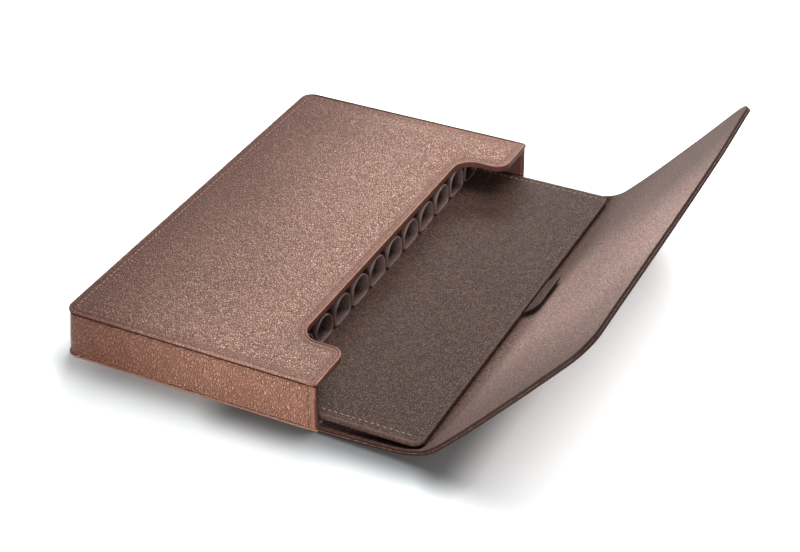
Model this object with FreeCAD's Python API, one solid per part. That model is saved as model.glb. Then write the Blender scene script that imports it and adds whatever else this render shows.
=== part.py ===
import FreeCAD
import Part

import math
import os

# Slip case for twelve pens: a leather sleeve, a tray with pen loops that slides in
# it, and a flap that runs under the tray and closes back over the top.
# Millimetres. Origin: centre of the sleeve's base, on the table. +X points out of the
# mouth, +Y to the far wall, +Z up. The flap stands half open at rest.

# Sleeve, outside
CASE_WIDTH = 216.0
CASE_DEPTH = 122.5
CASE_HEIGHT = 24.0
CORNER_RADIUS = 6.0
MOUTH_CORNER_RADIUS = 1.2
LIP = 0.4
LIP_ROUNDING = 0.45

# Layers of the sleeve
LEATHER = 1.0
LINING = 0.4
BASE_BOARD = 2.6
WALL_BOARD = 1.2
TOP_BOARD = 1.4
WELT_HEIGHT = 0.6
WELT_INSET = 0.2

# Finger notch in the top
NOTCH_DEPTH = 22.4
HORN_WIDTH = 27.0
NOTCH_OUTER_RADIUS = 6.5
NOTCH_INNER_RADIUS = 9.0
BINDING_WIDTH = 1.0
BINDING_PROUD = 0.15

# Crown of the padded top: inset from the panel's edges, and height over the flat
# border, at each ring of the swell
CROWN_HEIGHT = 0.95
CROWN_BORDER = 9.0
CROWN_RUN = 14.0
CROWN_RINGS = 4
CROWN_CORNER_RADIUS = 16.0

# Flap
TONGUE_LENGTH = 48.0
FLAP_REST_ANGLE = 49.5
COVER_LENGTH = 76.6
COVER_CLEARANCE = 0.45
FLAP_BOARD = 0.8
FLAP_LINING = 0.6
FLAP_MARGIN = 3.0
FLAP_CORNER_RADIUS = 12.0
FOLD_CLEARANCE = 0.3

# Tray
TRAY_REACH = 45.5
TRAY_TRAVEL = 12.0
TRAY_END_CLEARANCE = 1.0
TRAY_SIDE_CLEARANCE = 0.5
TRAY_LIFT = 0.4
TRAY_BOARD = 1.6
TRAY_LEATHER = 0.9
TRAY_LINING = 0.5
TRAY_LINING_INSET = 2.0
TRAY_CORNER_RADIUS = 4.0

# Pen loops
LOOP_COUNT = 12
LOOP_GAP = 1.7
LOOP_MARGIN = 3.95
LOOP_LEATHER = 0.8
LOOP_LENGTH = 45.0
LOOP_SETBACK = 24.0
LOOP_FOOT_RADIUS = 2.0
LOOP_CLEARANCE = 0.6

# Pull tab
TAB_THICKNESS = 1.0
TAB_LENGTH = 7.5
TAB_WIDTH = 28.0
TAB_CENTRE = 12.5
TAB_TIP_RADIUS = 4.5
TAB_REST_ANGLE = 40.0
TAB_CLEARANCE = 0.15
TAB_ANCHOR_LENGTH = 12.0

# Magnets
MAGNET_DIAMETER = 12.0
CASE_MAGNET = 1.0
MAGNET_SETBACK = 11.0

# Heights and faces that follow from the sizes above
MOUTH_X = CASE_DEPTH / 2
BACK_X = -CASE_DEPTH / 2
HALF_WIDTH = CASE_WIDTH / 2
NOTCH_WIDTH = CASE_WIDTH - 2 * HORN_WIDTH
WALL_FACE = LIP
WALL_BOARD_FACE = WALL_FACE + LEATHER
WALL_LINING_FACE = WALL_BOARD_FACE + WALL_BOARD
WALL_INSIDE = WALL_LINING_FACE + LINING
BASE_BOARD_TOP = LEATHER + BASE_BOARD
FLOOR_Z = BASE_BOARD_TOP + LINING
TOP_BOARD_TOP = CASE_HEIGHT - LEATHER
TOP_BOARD_BOTTOM = TOP_BOARD_TOP - TOP_BOARD
CEILING_Z = TOP_BOARD_BOTTOM - LINING
FLAP_THICKNESS = LEATHER + FLAP_BOARD + FLAP_LINING
FLAP_MIDDLE = FLAP_THICKNESS / 2
LOWER_FOLD_X = MOUTH_X + TONGUE_LENGTH
TONGUE_END_X = LOWER_FOLD_X - FLAP_MIDDLE - FOLD_CLEARANCE
FRONT_LENGTH = CASE_HEIGHT + CROWN_HEIGHT + COVER_CLEARANCE
TRAY_FRONT_X = MOUTH_X + TRAY_REACH
TRAY_BACK_X = BACK_X + WALL_INSIDE + TRAY_END_CLEARANCE + TRAY_TRAVEL
TRAY_HALF_WIDTH = HALF_WIDTH - WALL_INSIDE - TRAY_SIDE_CLEARANCE
TRAY_BOTTOM = FLOOR_Z + TRAY_LIFT
TRAY_BOARD_BOTTOM = TRAY_BOTTOM + TRAY_LINING
TRAY_BOARD_TOP = TRAY_BOARD_BOTTOM + TRAY_BOARD
TRAY_TOP = TRAY_BOARD_TOP + TRAY_LEATHER
LOOP_ROW_WIDTH = 2 * (TRAY_HALF_WIDTH - LOOP_MARGIN)
LOOP_PITCH = (LOOP_ROW_WIDTH + LOOP_GAP) / LOOP_COUNT
LOOP_WIDTH = LOOP_PITCH - LOOP_GAP
LOOP_HEIGHT = CEILING_Z - LOOP_CLEARANCE - TRAY_TOP
LOOP_FRONT_X = MOUTH_X - LOOP_SETBACK
TAB_HINGE_X = TRAY_FRONT_X + TAB_THICKNESS / 2 + TAB_CLEARANCE
TAB_HINGE_Z = (TRAY_BOTTOM + TRAY_TOP) / 2
MAGNET_Y = (HALF_WIDTH + NOTCH_WIDTH / 2) / 2

Y_AXIS = FreeCAD.Vector(0, 1, 0)
SAME_POINT = 1e-6
SAME_HEIGHT = 1e-3


def box(x0, x1, y0, y1, z0, z1):
    """A block between two corners."""
    return Part.makeBox(x1 - x0, y1 - y0, z1 - z0, FreeCAD.Vector(x0, y0, z0))


def rounded_wire(corners, place):
    """A closed outline through corners (a, b, radius), each rounded by its radius.

    place turns the two plane coordinates into a point in space.
    """
    count = len(corners)
    runs = []
    for i, (a, b, radius) in enumerate(corners):
        here = FreeCAD.Vector(a, b, 0)
        before = FreeCAD.Vector(corners[i - 1][0], corners[i - 1][1], 0) - here
        after = FreeCAD.Vector(corners[(i + 1) % count][0], corners[(i + 1) % count][1], 0) - here
        if radius <= 0:
            runs.append((here, None, here))
            continue
        half_angle = before.getAngle(after) / 2
        bisector = (before.normalize() + after.normalize()).normalize()
        setback = radius / math.tan(half_angle)
        middle = here + bisector * (radius / math.sin(half_angle) - radius)
        runs.append((here + before * setback, middle, here + after * setback))
    edges = []
    for i, (start, middle, end) in enumerate(runs):
        if middle is not None:
            arc = Part.Arc(place(start), place(middle), place(end))
            edges.append(arc.toShape())
        next_start = runs[(i + 1) % count][0]
        if (next_start - end).Length > SAME_POINT:
            edges.append(Part.makeLine(place(end), place(next_start)))
    return Part.Wire(edges)


def in_plan(z):
    """Places plane coordinates at a height."""
    return lambda p: FreeCAD.Vector(p.x, p.y, z)


def in_section(x):
    """Places plane coordinates on a section across the case, at one x."""
    return lambda p: FreeCAD.Vector(x, p.x, p.y)


def plate(corners, z0, z1):
    """A flat plate of one outline between two heights."""
    face = Part.Face(rounded_wire(corners, in_plan(z0)))
    return face.extrude(FreeCAD.Vector(0, 0, z1 - z0))


def rectangle(x0, x1, half_width, back_radius=0.0, front_radius=0.0):
    """Corners of an outline that is centred on the X axis."""
    return [
        (x0, -half_width, back_radius),
        (x1, -half_width, front_radius),
        (x1, half_width, front_radius),
        (x0, half_width, back_radius),
    ]


def floor_outline(side_inset, x1):
    """The sleeve's plan, inset from its walls, from the closed end to x1."""
    radius = CORNER_RADIUS - side_inset
    return rectangle(BACK_X + side_inset, x1, HALF_WIDTH - side_inset, radius)


def top_outline(side_inset, edge_inset):
    """The top panel's plan with the finger notch, inset from walls and mouth edge."""
    back = BACK_X + side_inset
    mouth = MOUTH_X - edge_inset
    side = HALF_WIDTH - side_inset
    notch_side = NOTCH_WIDTH / 2 + edge_inset
    notch_back = MOUTH_X - NOTCH_DEPTH - edge_inset
    corner = CORNER_RADIUS - side_inset
    outer = NOTCH_OUTER_RADIUS - edge_inset
    inner = NOTCH_INNER_RADIUS + edge_inset
    mouth_corner = MOUTH_CORNER_RADIUS if side_inset == 0 else 0.0
    return [
        (back, -side, corner),
        (mouth, -side, mouth_corner),
        (mouth, -notch_side, outer),
        (notch_back, -notch_side, inner),
        (notch_back, notch_side, inner),
        (mouth, notch_side, outer),
        (mouth, side, mouth_corner),
        (back, side, corner),
    ]


def wall_ring(outer_inset, inner_inset, z0, z1, x1):
    """An upright strip round the closed end and both side walls, open at the mouth."""
    outside = plate(floor_outline(outer_inset, x1), z0, z1)
    inside = plate(floor_outline(inner_inset, x1 + LEATHER), z0, z1)
    return outside.cut(inside)


def crown(z):
    """The swell of the padded top: rings that close in as they rise."""
    rings = []
    for i in range(CROWN_RINGS + 1):
        turn = math.pi / 2 * i / CROWN_RINGS
        inset = CROWN_BORDER + CROWN_RUN * (1 - math.cos(turn))
        height = z + CROWN_HEIGHT * math.sin(turn)
        front = MOUTH_X - NOTCH_DEPTH - inset
        corners = rectangle(
            BACK_X + inset, front, HALF_WIDTH - inset, CROWN_CORNER_RADIUS, CROWN_CORNER_RADIUS
        )
        rings.append(rounded_wire(corners, in_plan(height)))
    return Part.makeLoft(rings, True, True)


def disc(x, y, z0, z1):
    """A magnet disc standing on one height."""
    return Part.makeCylinder(MAGNET_DIAMETER / 2, z1 - z0, FreeCAD.Vector(x, y, z0))


def edges_where(shape, test):
    """The edges of a shape whose middle passes a test."""
    return [e for e in shape.Edges if test(e.valueAt((e.FirstParameter + e.LastParameter) / 2))]


def sleeve_base():
    """Bottom leather with its tongue, the boards on it and their linings."""
    leather = plate(floor_outline(0, TONGUE_END_X), 0, LEATHER)
    tongue_z = LEATHER + FLAP_BOARD
    board_end = TONGUE_END_X - FLAP_MARGIN
    rim = box(MOUTH_X, TONGUE_END_X, -HALF_WIDTH, HALF_WIDTH, LEATHER, tongue_z)
    tongue_board = plate(
        rectangle(MOUTH_X, board_end, HALF_WIDTH - FLAP_MARGIN), LEATHER, tongue_z
    )
    return {
        "base_leather": leather.fuse(rim.cut(tongue_board)).removeSplitter(),
        "base_board": plate(floor_outline(WALL_BOARD_FACE, MOUTH_X), LEATHER, BASE_BOARD_TOP),
        "base_lining": plate(floor_outline(WALL_LINING_FACE, MOUTH_X), BASE_BOARD_TOP, FLOOR_Z),
        "tongue_board": tongue_board,
        "tongue_lining": plate(
            rectangle(MOUTH_X, TONGUE_END_X, HALF_WIDTH), tongue_z, FLAP_THICKNESS
        ),
    }


def sleeve_walls():
    """Wall leather turned in at the mouth, its boards, the lining and the dark welt."""
    welt_bottom = TOP_BOARD_TOP - WELT_HEIGHT
    leather = wall_ring(WALL_FACE, WALL_BOARD_FACE, LEATHER, welt_bottom, MOUTH_X)
    welt = wall_ring(WELT_INSET, WALL_BOARD_FACE, welt_bottom, TOP_BOARD_TOP, MOUTH_X)
    board_end = MOUTH_X - LEATHER
    boards = wall_ring(
        WALL_BOARD_FACE, WALL_LINING_FACE, BASE_BOARD_TOP, TOP_BOARD_BOTTOM, board_end
    )
    lining = wall_ring(WALL_LINING_FACE, WALL_INSIDE, FLOOR_Z, CEILING_Z, board_end)
    corner_x = BACK_X + CORNER_RADIUS
    back_zone = box(BACK_X, corner_x, -HALF_WIDTH, HALF_WIDTH, 0, CASE_HEIGHT)
    side_boards = boards.cut(back_zone)
    for side in (-1, 1):
        outer = side * (HALF_WIDTH - WALL_BOARD_FACE)
        middle = side * (HALF_WIDTH - WALL_LINING_FACE)
        inner = side * (HALF_WIDTH - WALL_INSIDE)
        board_cap = box(
            board_end, MOUTH_X, min(outer, middle), max(outer, middle),
            BASE_BOARD_TOP, TOP_BOARD_BOTTOM,
        )
        lining_cap = box(
            board_end, MOUTH_X, min(middle, inner), max(middle, inner), FLOOR_Z, CEILING_Z
        )
        leather = leather.fuse(board_cap).fuse(lining_cap)
    near, far = sorted(side_boards.Solids, key=lambda solid: solid.CenterOfMass.y)
    return {
        "wall_leather": leather.removeSplitter(),
        "near_wall_board": near,
        "far_wall_board": far,
        "back_wall_board": boards.common(back_zone),
        "wall_lining": lining,
        "top_seam_welt": welt,
    }


def sleeve_top():
    """Padded top leather, foam, notched board and lining, turned edge and magnets."""
    whole = plate(top_outline(0, 0), TOP_BOARD_TOP, CASE_HEIGHT)
    leather = plate(top_outline(0, BINDING_WIDTH), TOP_BOARD_TOP, CASE_HEIGHT)
    lip = edges_where(
        leather,
        lambda p: p.z > CASE_HEIGHT - SAME_HEIGHT
        and (abs(p.y) > HALF_WIDTH - LIP or p.x < BACK_X + CORNER_RADIUS),
    )
    leather = leather.makeFillet(LIP_ROUNDING, lip)
    pad = crown(TOP_BOARD_TOP)
    leather = leather.fuse(crown(CASE_HEIGHT)).cut(pad).removeSplitter()
    board = plate(top_outline(WALL_BOARD_FACE, BINDING_WIDTH), TOP_BOARD_BOTTOM, TOP_BOARD_TOP)
    lining = plate(top_outline(WALL_INSIDE, BINDING_WIDTH), CEILING_Z, TOP_BOARD_BOTTOM)
    binding = plate(top_outline(WALL_INSIDE, 0), CEILING_Z, CASE_HEIGHT + BINDING_PROUD)
    binding = binding.cut(
        plate(top_outline(0, BINDING_WIDTH), CEILING_Z, CASE_HEIGHT + BINDING_PROUD)
    )
    edge = whole.cut(plate(top_outline(0, BINDING_WIDTH), TOP_BOARD_TOP, CASE_HEIGHT))
    binding = binding.fuse(edge).removeSplitter()
    magnets = [
        disc(MOUTH_X - MAGNET_SETBACK, y, TOP_BOARD_TOP - CASE_MAGNET, TOP_BOARD_TOP)
        for y in (-MAGNET_Y, MAGNET_Y)
    ]
    return {
        "top_leather": leather,
        "top_pad": pad,
        "top_board": board.cut(magnets),
        "top_lining": lining,
        "notch_binding": binding,
        "case_magnets": Part.makeCompound(magnets),
    }


def raised(shape, hinge_x, hinge_z, angle):
    """Turns a piece modelled flat about its fold line and sets it at the fold."""
    turned = shape.copy()
    turned.rotate(FreeCAD.Vector(0, 0, 0), Y_AXIS, -angle)
    turned.translate(FreeCAD.Vector(hinge_x, 0, hinge_z))
    return turned


def fold_roll():
    """The half-round roll of leather on a fold line, along the whole width."""
    roll = Part.makeCylinder(
        FLAP_MIDDLE, CASE_WIDTH, FreeCAD.Vector(0, -HALF_WIDTH, 0), Y_AXIS
    )
    behind = box(-FLAP_MIDDLE, 0, -HALF_WIDTH, HALF_WIDTH, -FLAP_MIDDLE, FLAP_MIDDLE)
    return roll.common(behind)


def flap_panel(length, free_radius, holes):
    """Leather, board and lining of one flap panel, flat, with its fold line at x = 0."""
    board_z = LEATHER - FLAP_MIDDLE
    lining_z = board_z + FLAP_BOARD
    outline = rectangle(0, length, HALF_WIDTH, 0, free_radius)
    board_radius = max(free_radius - FLAP_MARGIN, 0)
    board = plate(
        rectangle(FLAP_MARGIN, length - FLAP_MARGIN, HALF_WIDTH - FLAP_MARGIN, 0, board_radius),
        board_z, lining_z,
    )
    leather = plate(outline, -FLAP_MIDDLE, lining_z).cut(board)
    lining = plate(outline, lining_z, FLAP_MIDDLE)
    magnets = [disc(x, y, board_z, lining_z) for x, y in holes]
    if magnets:
        board = board.cut(magnets)
    return leather, board, lining, magnets


def flap():
    """The two panels of the flap and the rolls on their fold lines, half open."""
    front_end = FRONT_LENGTH - FLAP_MIDDLE - FOLD_CLEARANCE
    leather, board, lining, _ = flap_panel(front_end, 0.0, [])
    front = {
        "flap_front_leather": leather,
        "flap_front_board": board,
        "flap_front_lining": lining,
        "lower_fold_strip": fold_roll(),
    }
    magnet_x = TONGUE_LENGTH + MAGNET_SETBACK
    holes = [(magnet_x, -MAGNET_Y), (magnet_x, MAGNET_Y)]
    leather, board, lining, magnets = flap_panel(COVER_LENGTH, FLAP_CORNER_RADIUS, holes)
    cover = {
        "flap_cover_leather": leather,
        "flap_cover_board": board,
        "flap_cover_lining": lining,
        "upper_fold_strip": fold_roll(),
        "flap_magnets": Part.makeCompound(magnets),
    }
    rise = math.radians(FLAP_REST_ANGLE)
    upper_x = LOWER_FOLD_X + FRONT_LENGTH * math.cos(rise)
    upper_z = FLAP_MIDDLE + FRONT_LENGTH * math.sin(rise)
    nodes = {}
    for name, shape in front.items():
        nodes[name] = raised(shape, LOWER_FOLD_X, FLAP_MIDDLE, FLAP_REST_ANGLE)
    for name, shape in cover.items():
        nodes[name] = raised(shape, upper_x, upper_z, FLAP_REST_ANGLE)
    return nodes


def tray():
    """Stiff tray wrapped in leather, its lining below and the pull tab's anchor."""
    outline = rectangle(
        TRAY_BACK_X, TRAY_FRONT_X, TRAY_HALF_WIDTH, TRAY_CORNER_RADIUS, TRAY_CORNER_RADIUS
    )
    board_radius = TRAY_CORNER_RADIUS - TRAY_LEATHER
    board = plate(
        rectangle(
            TRAY_BACK_X + TRAY_LEATHER, TRAY_FRONT_X - TRAY_LEATHER,
            TRAY_HALF_WIDTH - TRAY_LEATHER, board_radius, board_radius,
        ),
        TRAY_BOARD_BOTTOM, TRAY_BOARD_TOP,
    )
    lining_radius = TRAY_CORNER_RADIUS - TRAY_LINING_INSET
    lining = plate(
        rectangle(
            TRAY_BACK_X + TRAY_LINING_INSET, TRAY_FRONT_X - TRAY_LINING_INSET,
            TRAY_HALF_WIDTH - TRAY_LINING_INSET, lining_radius, lining_radius,
        ),
        TRAY_BOTTOM, TRAY_BOARD_BOTTOM,
    )
    whole = plate(outline, TRAY_BOTTOM, TRAY_TOP)
    anchor = box(
        TRAY_FRONT_X - TAB_ANCHOR_LENGTH, TRAY_FRONT_X,
        TAB_CENTRE - TAB_WIDTH / 2, TAB_CENTRE + TAB_WIDTH / 2,
        TAB_HINGE_Z - TAB_THICKNESS / 2, TAB_HINGE_Z + TAB_THICKNESS / 2,
    )
    return {
        "tray_board": board.cut(anchor),
        "tray_leather": whole.cut(board).cut(lining).cut(anchor),
        "tray_lining": lining,
        "tab_anchor": anchor,
    }


def loop_section(width, height, foot_radius, rise):
    """A loop's outline across the pen: round on top, flat where it is sewn down."""
    half = width / 2
    return [
        (-half, rise, foot_radius),
        (half, rise, foot_radius),
        (half, rise + height, half),
        (-half, rise + height, half),
    ]


def pen_loops():
    """The row of leather loops, sewn side by side on the tray."""
    back_x = LOOP_FRONT_X - LOOP_LENGTH
    outside = loop_section(LOOP_WIDTH, LOOP_HEIGHT, LOOP_FOOT_RADIUS, TRAY_TOP)
    bore = loop_section(
        LOOP_WIDTH - 2 * LOOP_LEATHER, LOOP_HEIGHT - 2 * LOOP_LEATHER,
        LOOP_FOOT_RADIUS - LOOP_LEATHER, TRAY_TOP + LOOP_LEATHER,
    )
    section = Part.Face(rounded_wire(outside, in_section(back_x)))
    section = section.cut(Part.Face(rounded_wire(bore, in_section(back_x))))
    loop = section.extrude(FreeCAD.Vector(LOOP_LENGTH, 0, 0))
    nodes = {}
    for i in range(LOOP_COUNT):
        y = (i - (LOOP_COUNT - 1) / 2) * LOOP_PITCH
        nodes[f"pen_loop_{i + 1:02d}"] = loop.translated(FreeCAD.Vector(0, y, 0))
    return nodes


def pull_tab():
    """The leather tab at the tray's front edge, leaning up along the flap."""
    half = TAB_THICKNESS / 2
    width = TAB_WIDTH / 2
    tongue = plate(rectangle(0, TAB_LENGTH, width, 0, TAB_TIP_RADIUS), -half, half)
    roll = Part.makeCylinder(half, TAB_WIDTH, FreeCAD.Vector(0, -width, 0), Y_AXIS)
    tab = tongue.fuse(roll).removeSplitter()
    tab.translate(FreeCAD.Vector(0, TAB_CENTRE, 0))
    return {"pull_tab": raised(tab, TAB_HINGE_X, TAB_HINGE_Z, TAB_REST_ANGLE)}


def build():
    """Builds every piece and writes one STEP file for each."""
    os.makedirs("parts", exist_ok=True)
    nodes = {}
    for pieces in (sleeve_base, sleeve_walls, sleeve_top, flap, tray, pen_loops, pull_tab):
        nodes.update(pieces())
    for name, shape in nodes.items():
        if not shape.isValid():
            raise ValueError(f"{name} is not a valid solid")
        shape.exportStep(os.path.join("parts", f"{name}.step"))
        print(name, len(shape.Solids), round(shape.Volume, 1))


build()
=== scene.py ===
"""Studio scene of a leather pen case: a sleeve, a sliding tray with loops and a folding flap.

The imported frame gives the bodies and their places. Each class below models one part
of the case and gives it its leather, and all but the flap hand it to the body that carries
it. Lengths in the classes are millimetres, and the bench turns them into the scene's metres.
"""

import logging
import math
import random
from collections.abc import Callable, Iterable, Iterator, Sequence
from contextlib import contextmanager
from dataclasses import dataclass, field
from enum import Enum
from functools import cache

import bmesh
import bpy
from mathutils import Matrix, Vector, noise


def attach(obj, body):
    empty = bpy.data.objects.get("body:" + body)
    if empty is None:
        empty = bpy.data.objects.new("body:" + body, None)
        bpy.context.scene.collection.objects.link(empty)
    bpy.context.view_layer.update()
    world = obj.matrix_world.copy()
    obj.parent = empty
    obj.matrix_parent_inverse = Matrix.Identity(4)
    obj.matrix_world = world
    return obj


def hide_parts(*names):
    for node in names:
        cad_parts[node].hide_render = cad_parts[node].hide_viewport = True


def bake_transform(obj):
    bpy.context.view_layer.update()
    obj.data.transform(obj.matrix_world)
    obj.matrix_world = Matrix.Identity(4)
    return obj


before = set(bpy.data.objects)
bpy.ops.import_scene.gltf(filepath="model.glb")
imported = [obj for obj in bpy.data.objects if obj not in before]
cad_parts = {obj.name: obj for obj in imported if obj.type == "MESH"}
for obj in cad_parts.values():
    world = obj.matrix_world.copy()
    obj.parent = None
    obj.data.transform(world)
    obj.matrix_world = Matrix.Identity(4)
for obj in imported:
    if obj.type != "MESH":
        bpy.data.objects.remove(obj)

MM = 0.001
LOG = logging.getLogger("pen_case")

# Two places closer than MATCH are one, and a place within NEAR of an edge lies on it.
MATCH = 0.01
NEAR = 0.1
# A normal or a direction with at least this share of an axis runs along that axis.
SQUARE = 0.9
SIDES = (-1.0, 1.0)
UPWARDS = Vector((0.0, 0.0, 1.0))
LYING = (0.0, math.pi / 2.0, 0.0)

Triple = tuple[float, float, float]
Colour = Triple
Span = tuple[float, float]
Test = Callable[[Vector, Vector], bool]
Piece = bpy.types.Object
Node = bpy.types.Node
Socket = bpy.types.NodeSocket

WHITE: Colour = (1.0, 1.0, 1.0)


@dataclass(frozen=True)
class CaseSizes:
    """Main sizes of the case, as its frame has them."""

    back: float = -61.25
    mouth: float = 61.25
    half_width: float = 108.0
    height: float = 24.0
    corner_radius: float = 6.0
    wall_face: float = 107.6
    wall_inside: float = 105.0
    base_top: float = 1.0
    wall_top: float = 22.4
    panel_bottom: float = 23.0
    notch_side: float = 81.0
    notch_back: float = 38.85
    notch_outer_radius: float = 6.5
    notch_inner_radius: float = 9.0


CASE = CaseSizes()


class Body(Enum):
    """The bodies of the case, by their names in the frame."""

    SLEEVE = "sleeve"
    FLAP_FRONT = "flap_front"
    FLAP_COVER = "flap_cover"
    TRAY = "tray"
    PULL_TAB = "pull_tab"


class Element(Enum):
    """What a selection picks, as the three switches of the select mode."""

    POINTS = (True, False, False)
    EDGES = (False, True, False)
    FACES = (False, False, True)


class Axis(Enum):
    """The case's directions, as their number in a vector."""

    ALONG = 0
    ACROSS = 1
    UP = 2


def steps(first: float, step: float, count: int) -> list[float]:
    """Places at even steps, from the first one on."""
    return [first + step * i for i in range(count)]


def smooth_step(value: float, low: float, high: float) -> float:
    """Rises softly from 0 at low to 1 at high."""
    t = min(max((value - low) / (high - low), 0.0), 1.0)
    return t * t * (3.0 - 2.0 * t)


def along_table(table: Sequence[Span], value: float) -> float:
    """Reads a curve given by points.

    Args:
        table: Points (place, height) in rising order of place.
        value: The place to read.

    Returns:
        The height there, level beyond both ends.
    """
    if value <= table[0][0]:
        return table[0][1]
    for (a, low), (b, high) in zip(table, table[1:]):
        if value <= b:
            return low + (high - low) * (value - a) / (b - a)
    return table[-1][1]


def unevenness(point: Vector, grain: float, amount: float) -> float:
    """A soft, repeatable swell of hand-worked leather, of a given grain and largest height."""
    return noise.noise(point / grain) * amount


class Outline:
    """A closed outline in plan whose corners are rounded.

    Straight runs and arcs are numbered as the corners are: run i leads from corner i
    to the next one, and arc i rounds corner i.
    """

    def __init__(self, corners: Sequence[Triple]) -> None:
        """Works out the runs and arcs.

        Args:
            corners: Corners (x, y, radius) in order.
        """
        self.arcs: dict[int, tuple[Vector, float, Vector, float]] = {}
        self.ends: list[tuple[Vector, Vector]] = []
        for i, (x, y, radius) in enumerate(corners):
            here = Vector((x, y))
            if radius <= 0.0:
                self.ends.append((here, here))
                continue
            before = (Vector(corners[i - 1][:2]) - here).normalized()
            after = (Vector(corners[(i + 1) % len(corners)][:2]) - here).normalized()
            middle = (before + after).normalized()
            half = before.angle(after) / 2.0
            setback = radius / math.tan(half)
            centre = here + middle * (radius / math.sin(half))
            self.ends.append((here + before * setback, here + after * setback))
            self.arcs[i] = (centre, radius, -middle, math.pi / 2.0 - half)
        self.runs = [(a[1], b[0]) for a, b in zip(self.ends, self.ends[1:] + self.ends[:1])]

    def distance(self, x: float, y: float, only: Iterable[int] | None = None) -> float:
        """How far a place is from the outline.

        Args:
            x: Place along the case.
            y: Place across the case.
            only: Numbers of the runs and arcs that count, or None for all.

        Returns:
            The distance to the nearest run or arc.
        """
        point = Vector((x, y))
        tiny = 1e-9
        nearest = math.inf
        for i in range(len(self.runs)) if only is None else only:
            start, end = self.runs[i]
            along = end - start
            share = (point - start).dot(along) / max(along.length_squared, tiny)
            foot = start + along * min(max(share, 0.0), 1.0)
            nearest = min(nearest, (point - foot).length)
            if i in self.arcs:
                centre, radius, facing, spread = self.arcs[i]
                out = point - centre
                if out.length > tiny and out.angle(facing) <= spread:
                    nearest = min(nearest, abs(out.length - radius))
        return nearest

    def walk(self, pitch: float, only: Sequence[int]) -> list[tuple[Vector, Vector]]:
        """Even steps along part of the outline.

        Args:
            pitch: Length of a step.
            only: Numbers of the runs to walk, in order; an arc between two is walked too.

        Returns:
            Places in plan, each with the level direction there.
        """
        arc_steps = 12
        line: list[Vector] = []
        for i in only:
            if i in self.arcs and line:
                centre = self.arcs[i][0]
                first, last = (end - centre for end in self.ends[i])
                turn = math.atan2(first.x * last.y - first.y * last.x, first.dot(last))
                for k in range(1, arc_steps):
                    line.append(centre + Matrix.Rotation(turn * k / arc_steps, 2) @ first)
            line.extend(self.runs[i])
        places: list[tuple[Vector, Vector]] = []
        left = pitch / 2.0
        for a, b in zip(line, line[1:]):
            length = (b - a).length
            while left <= length and length > 0.0:
                heading = math.atan2(b.y - a.y, b.x - a.x)
                places.append((a.lerp(b, left / length), Vector((math.cos(heading), math.sin(heading), 0.0))))
                left += pitch
            left -= length
        return places


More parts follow.
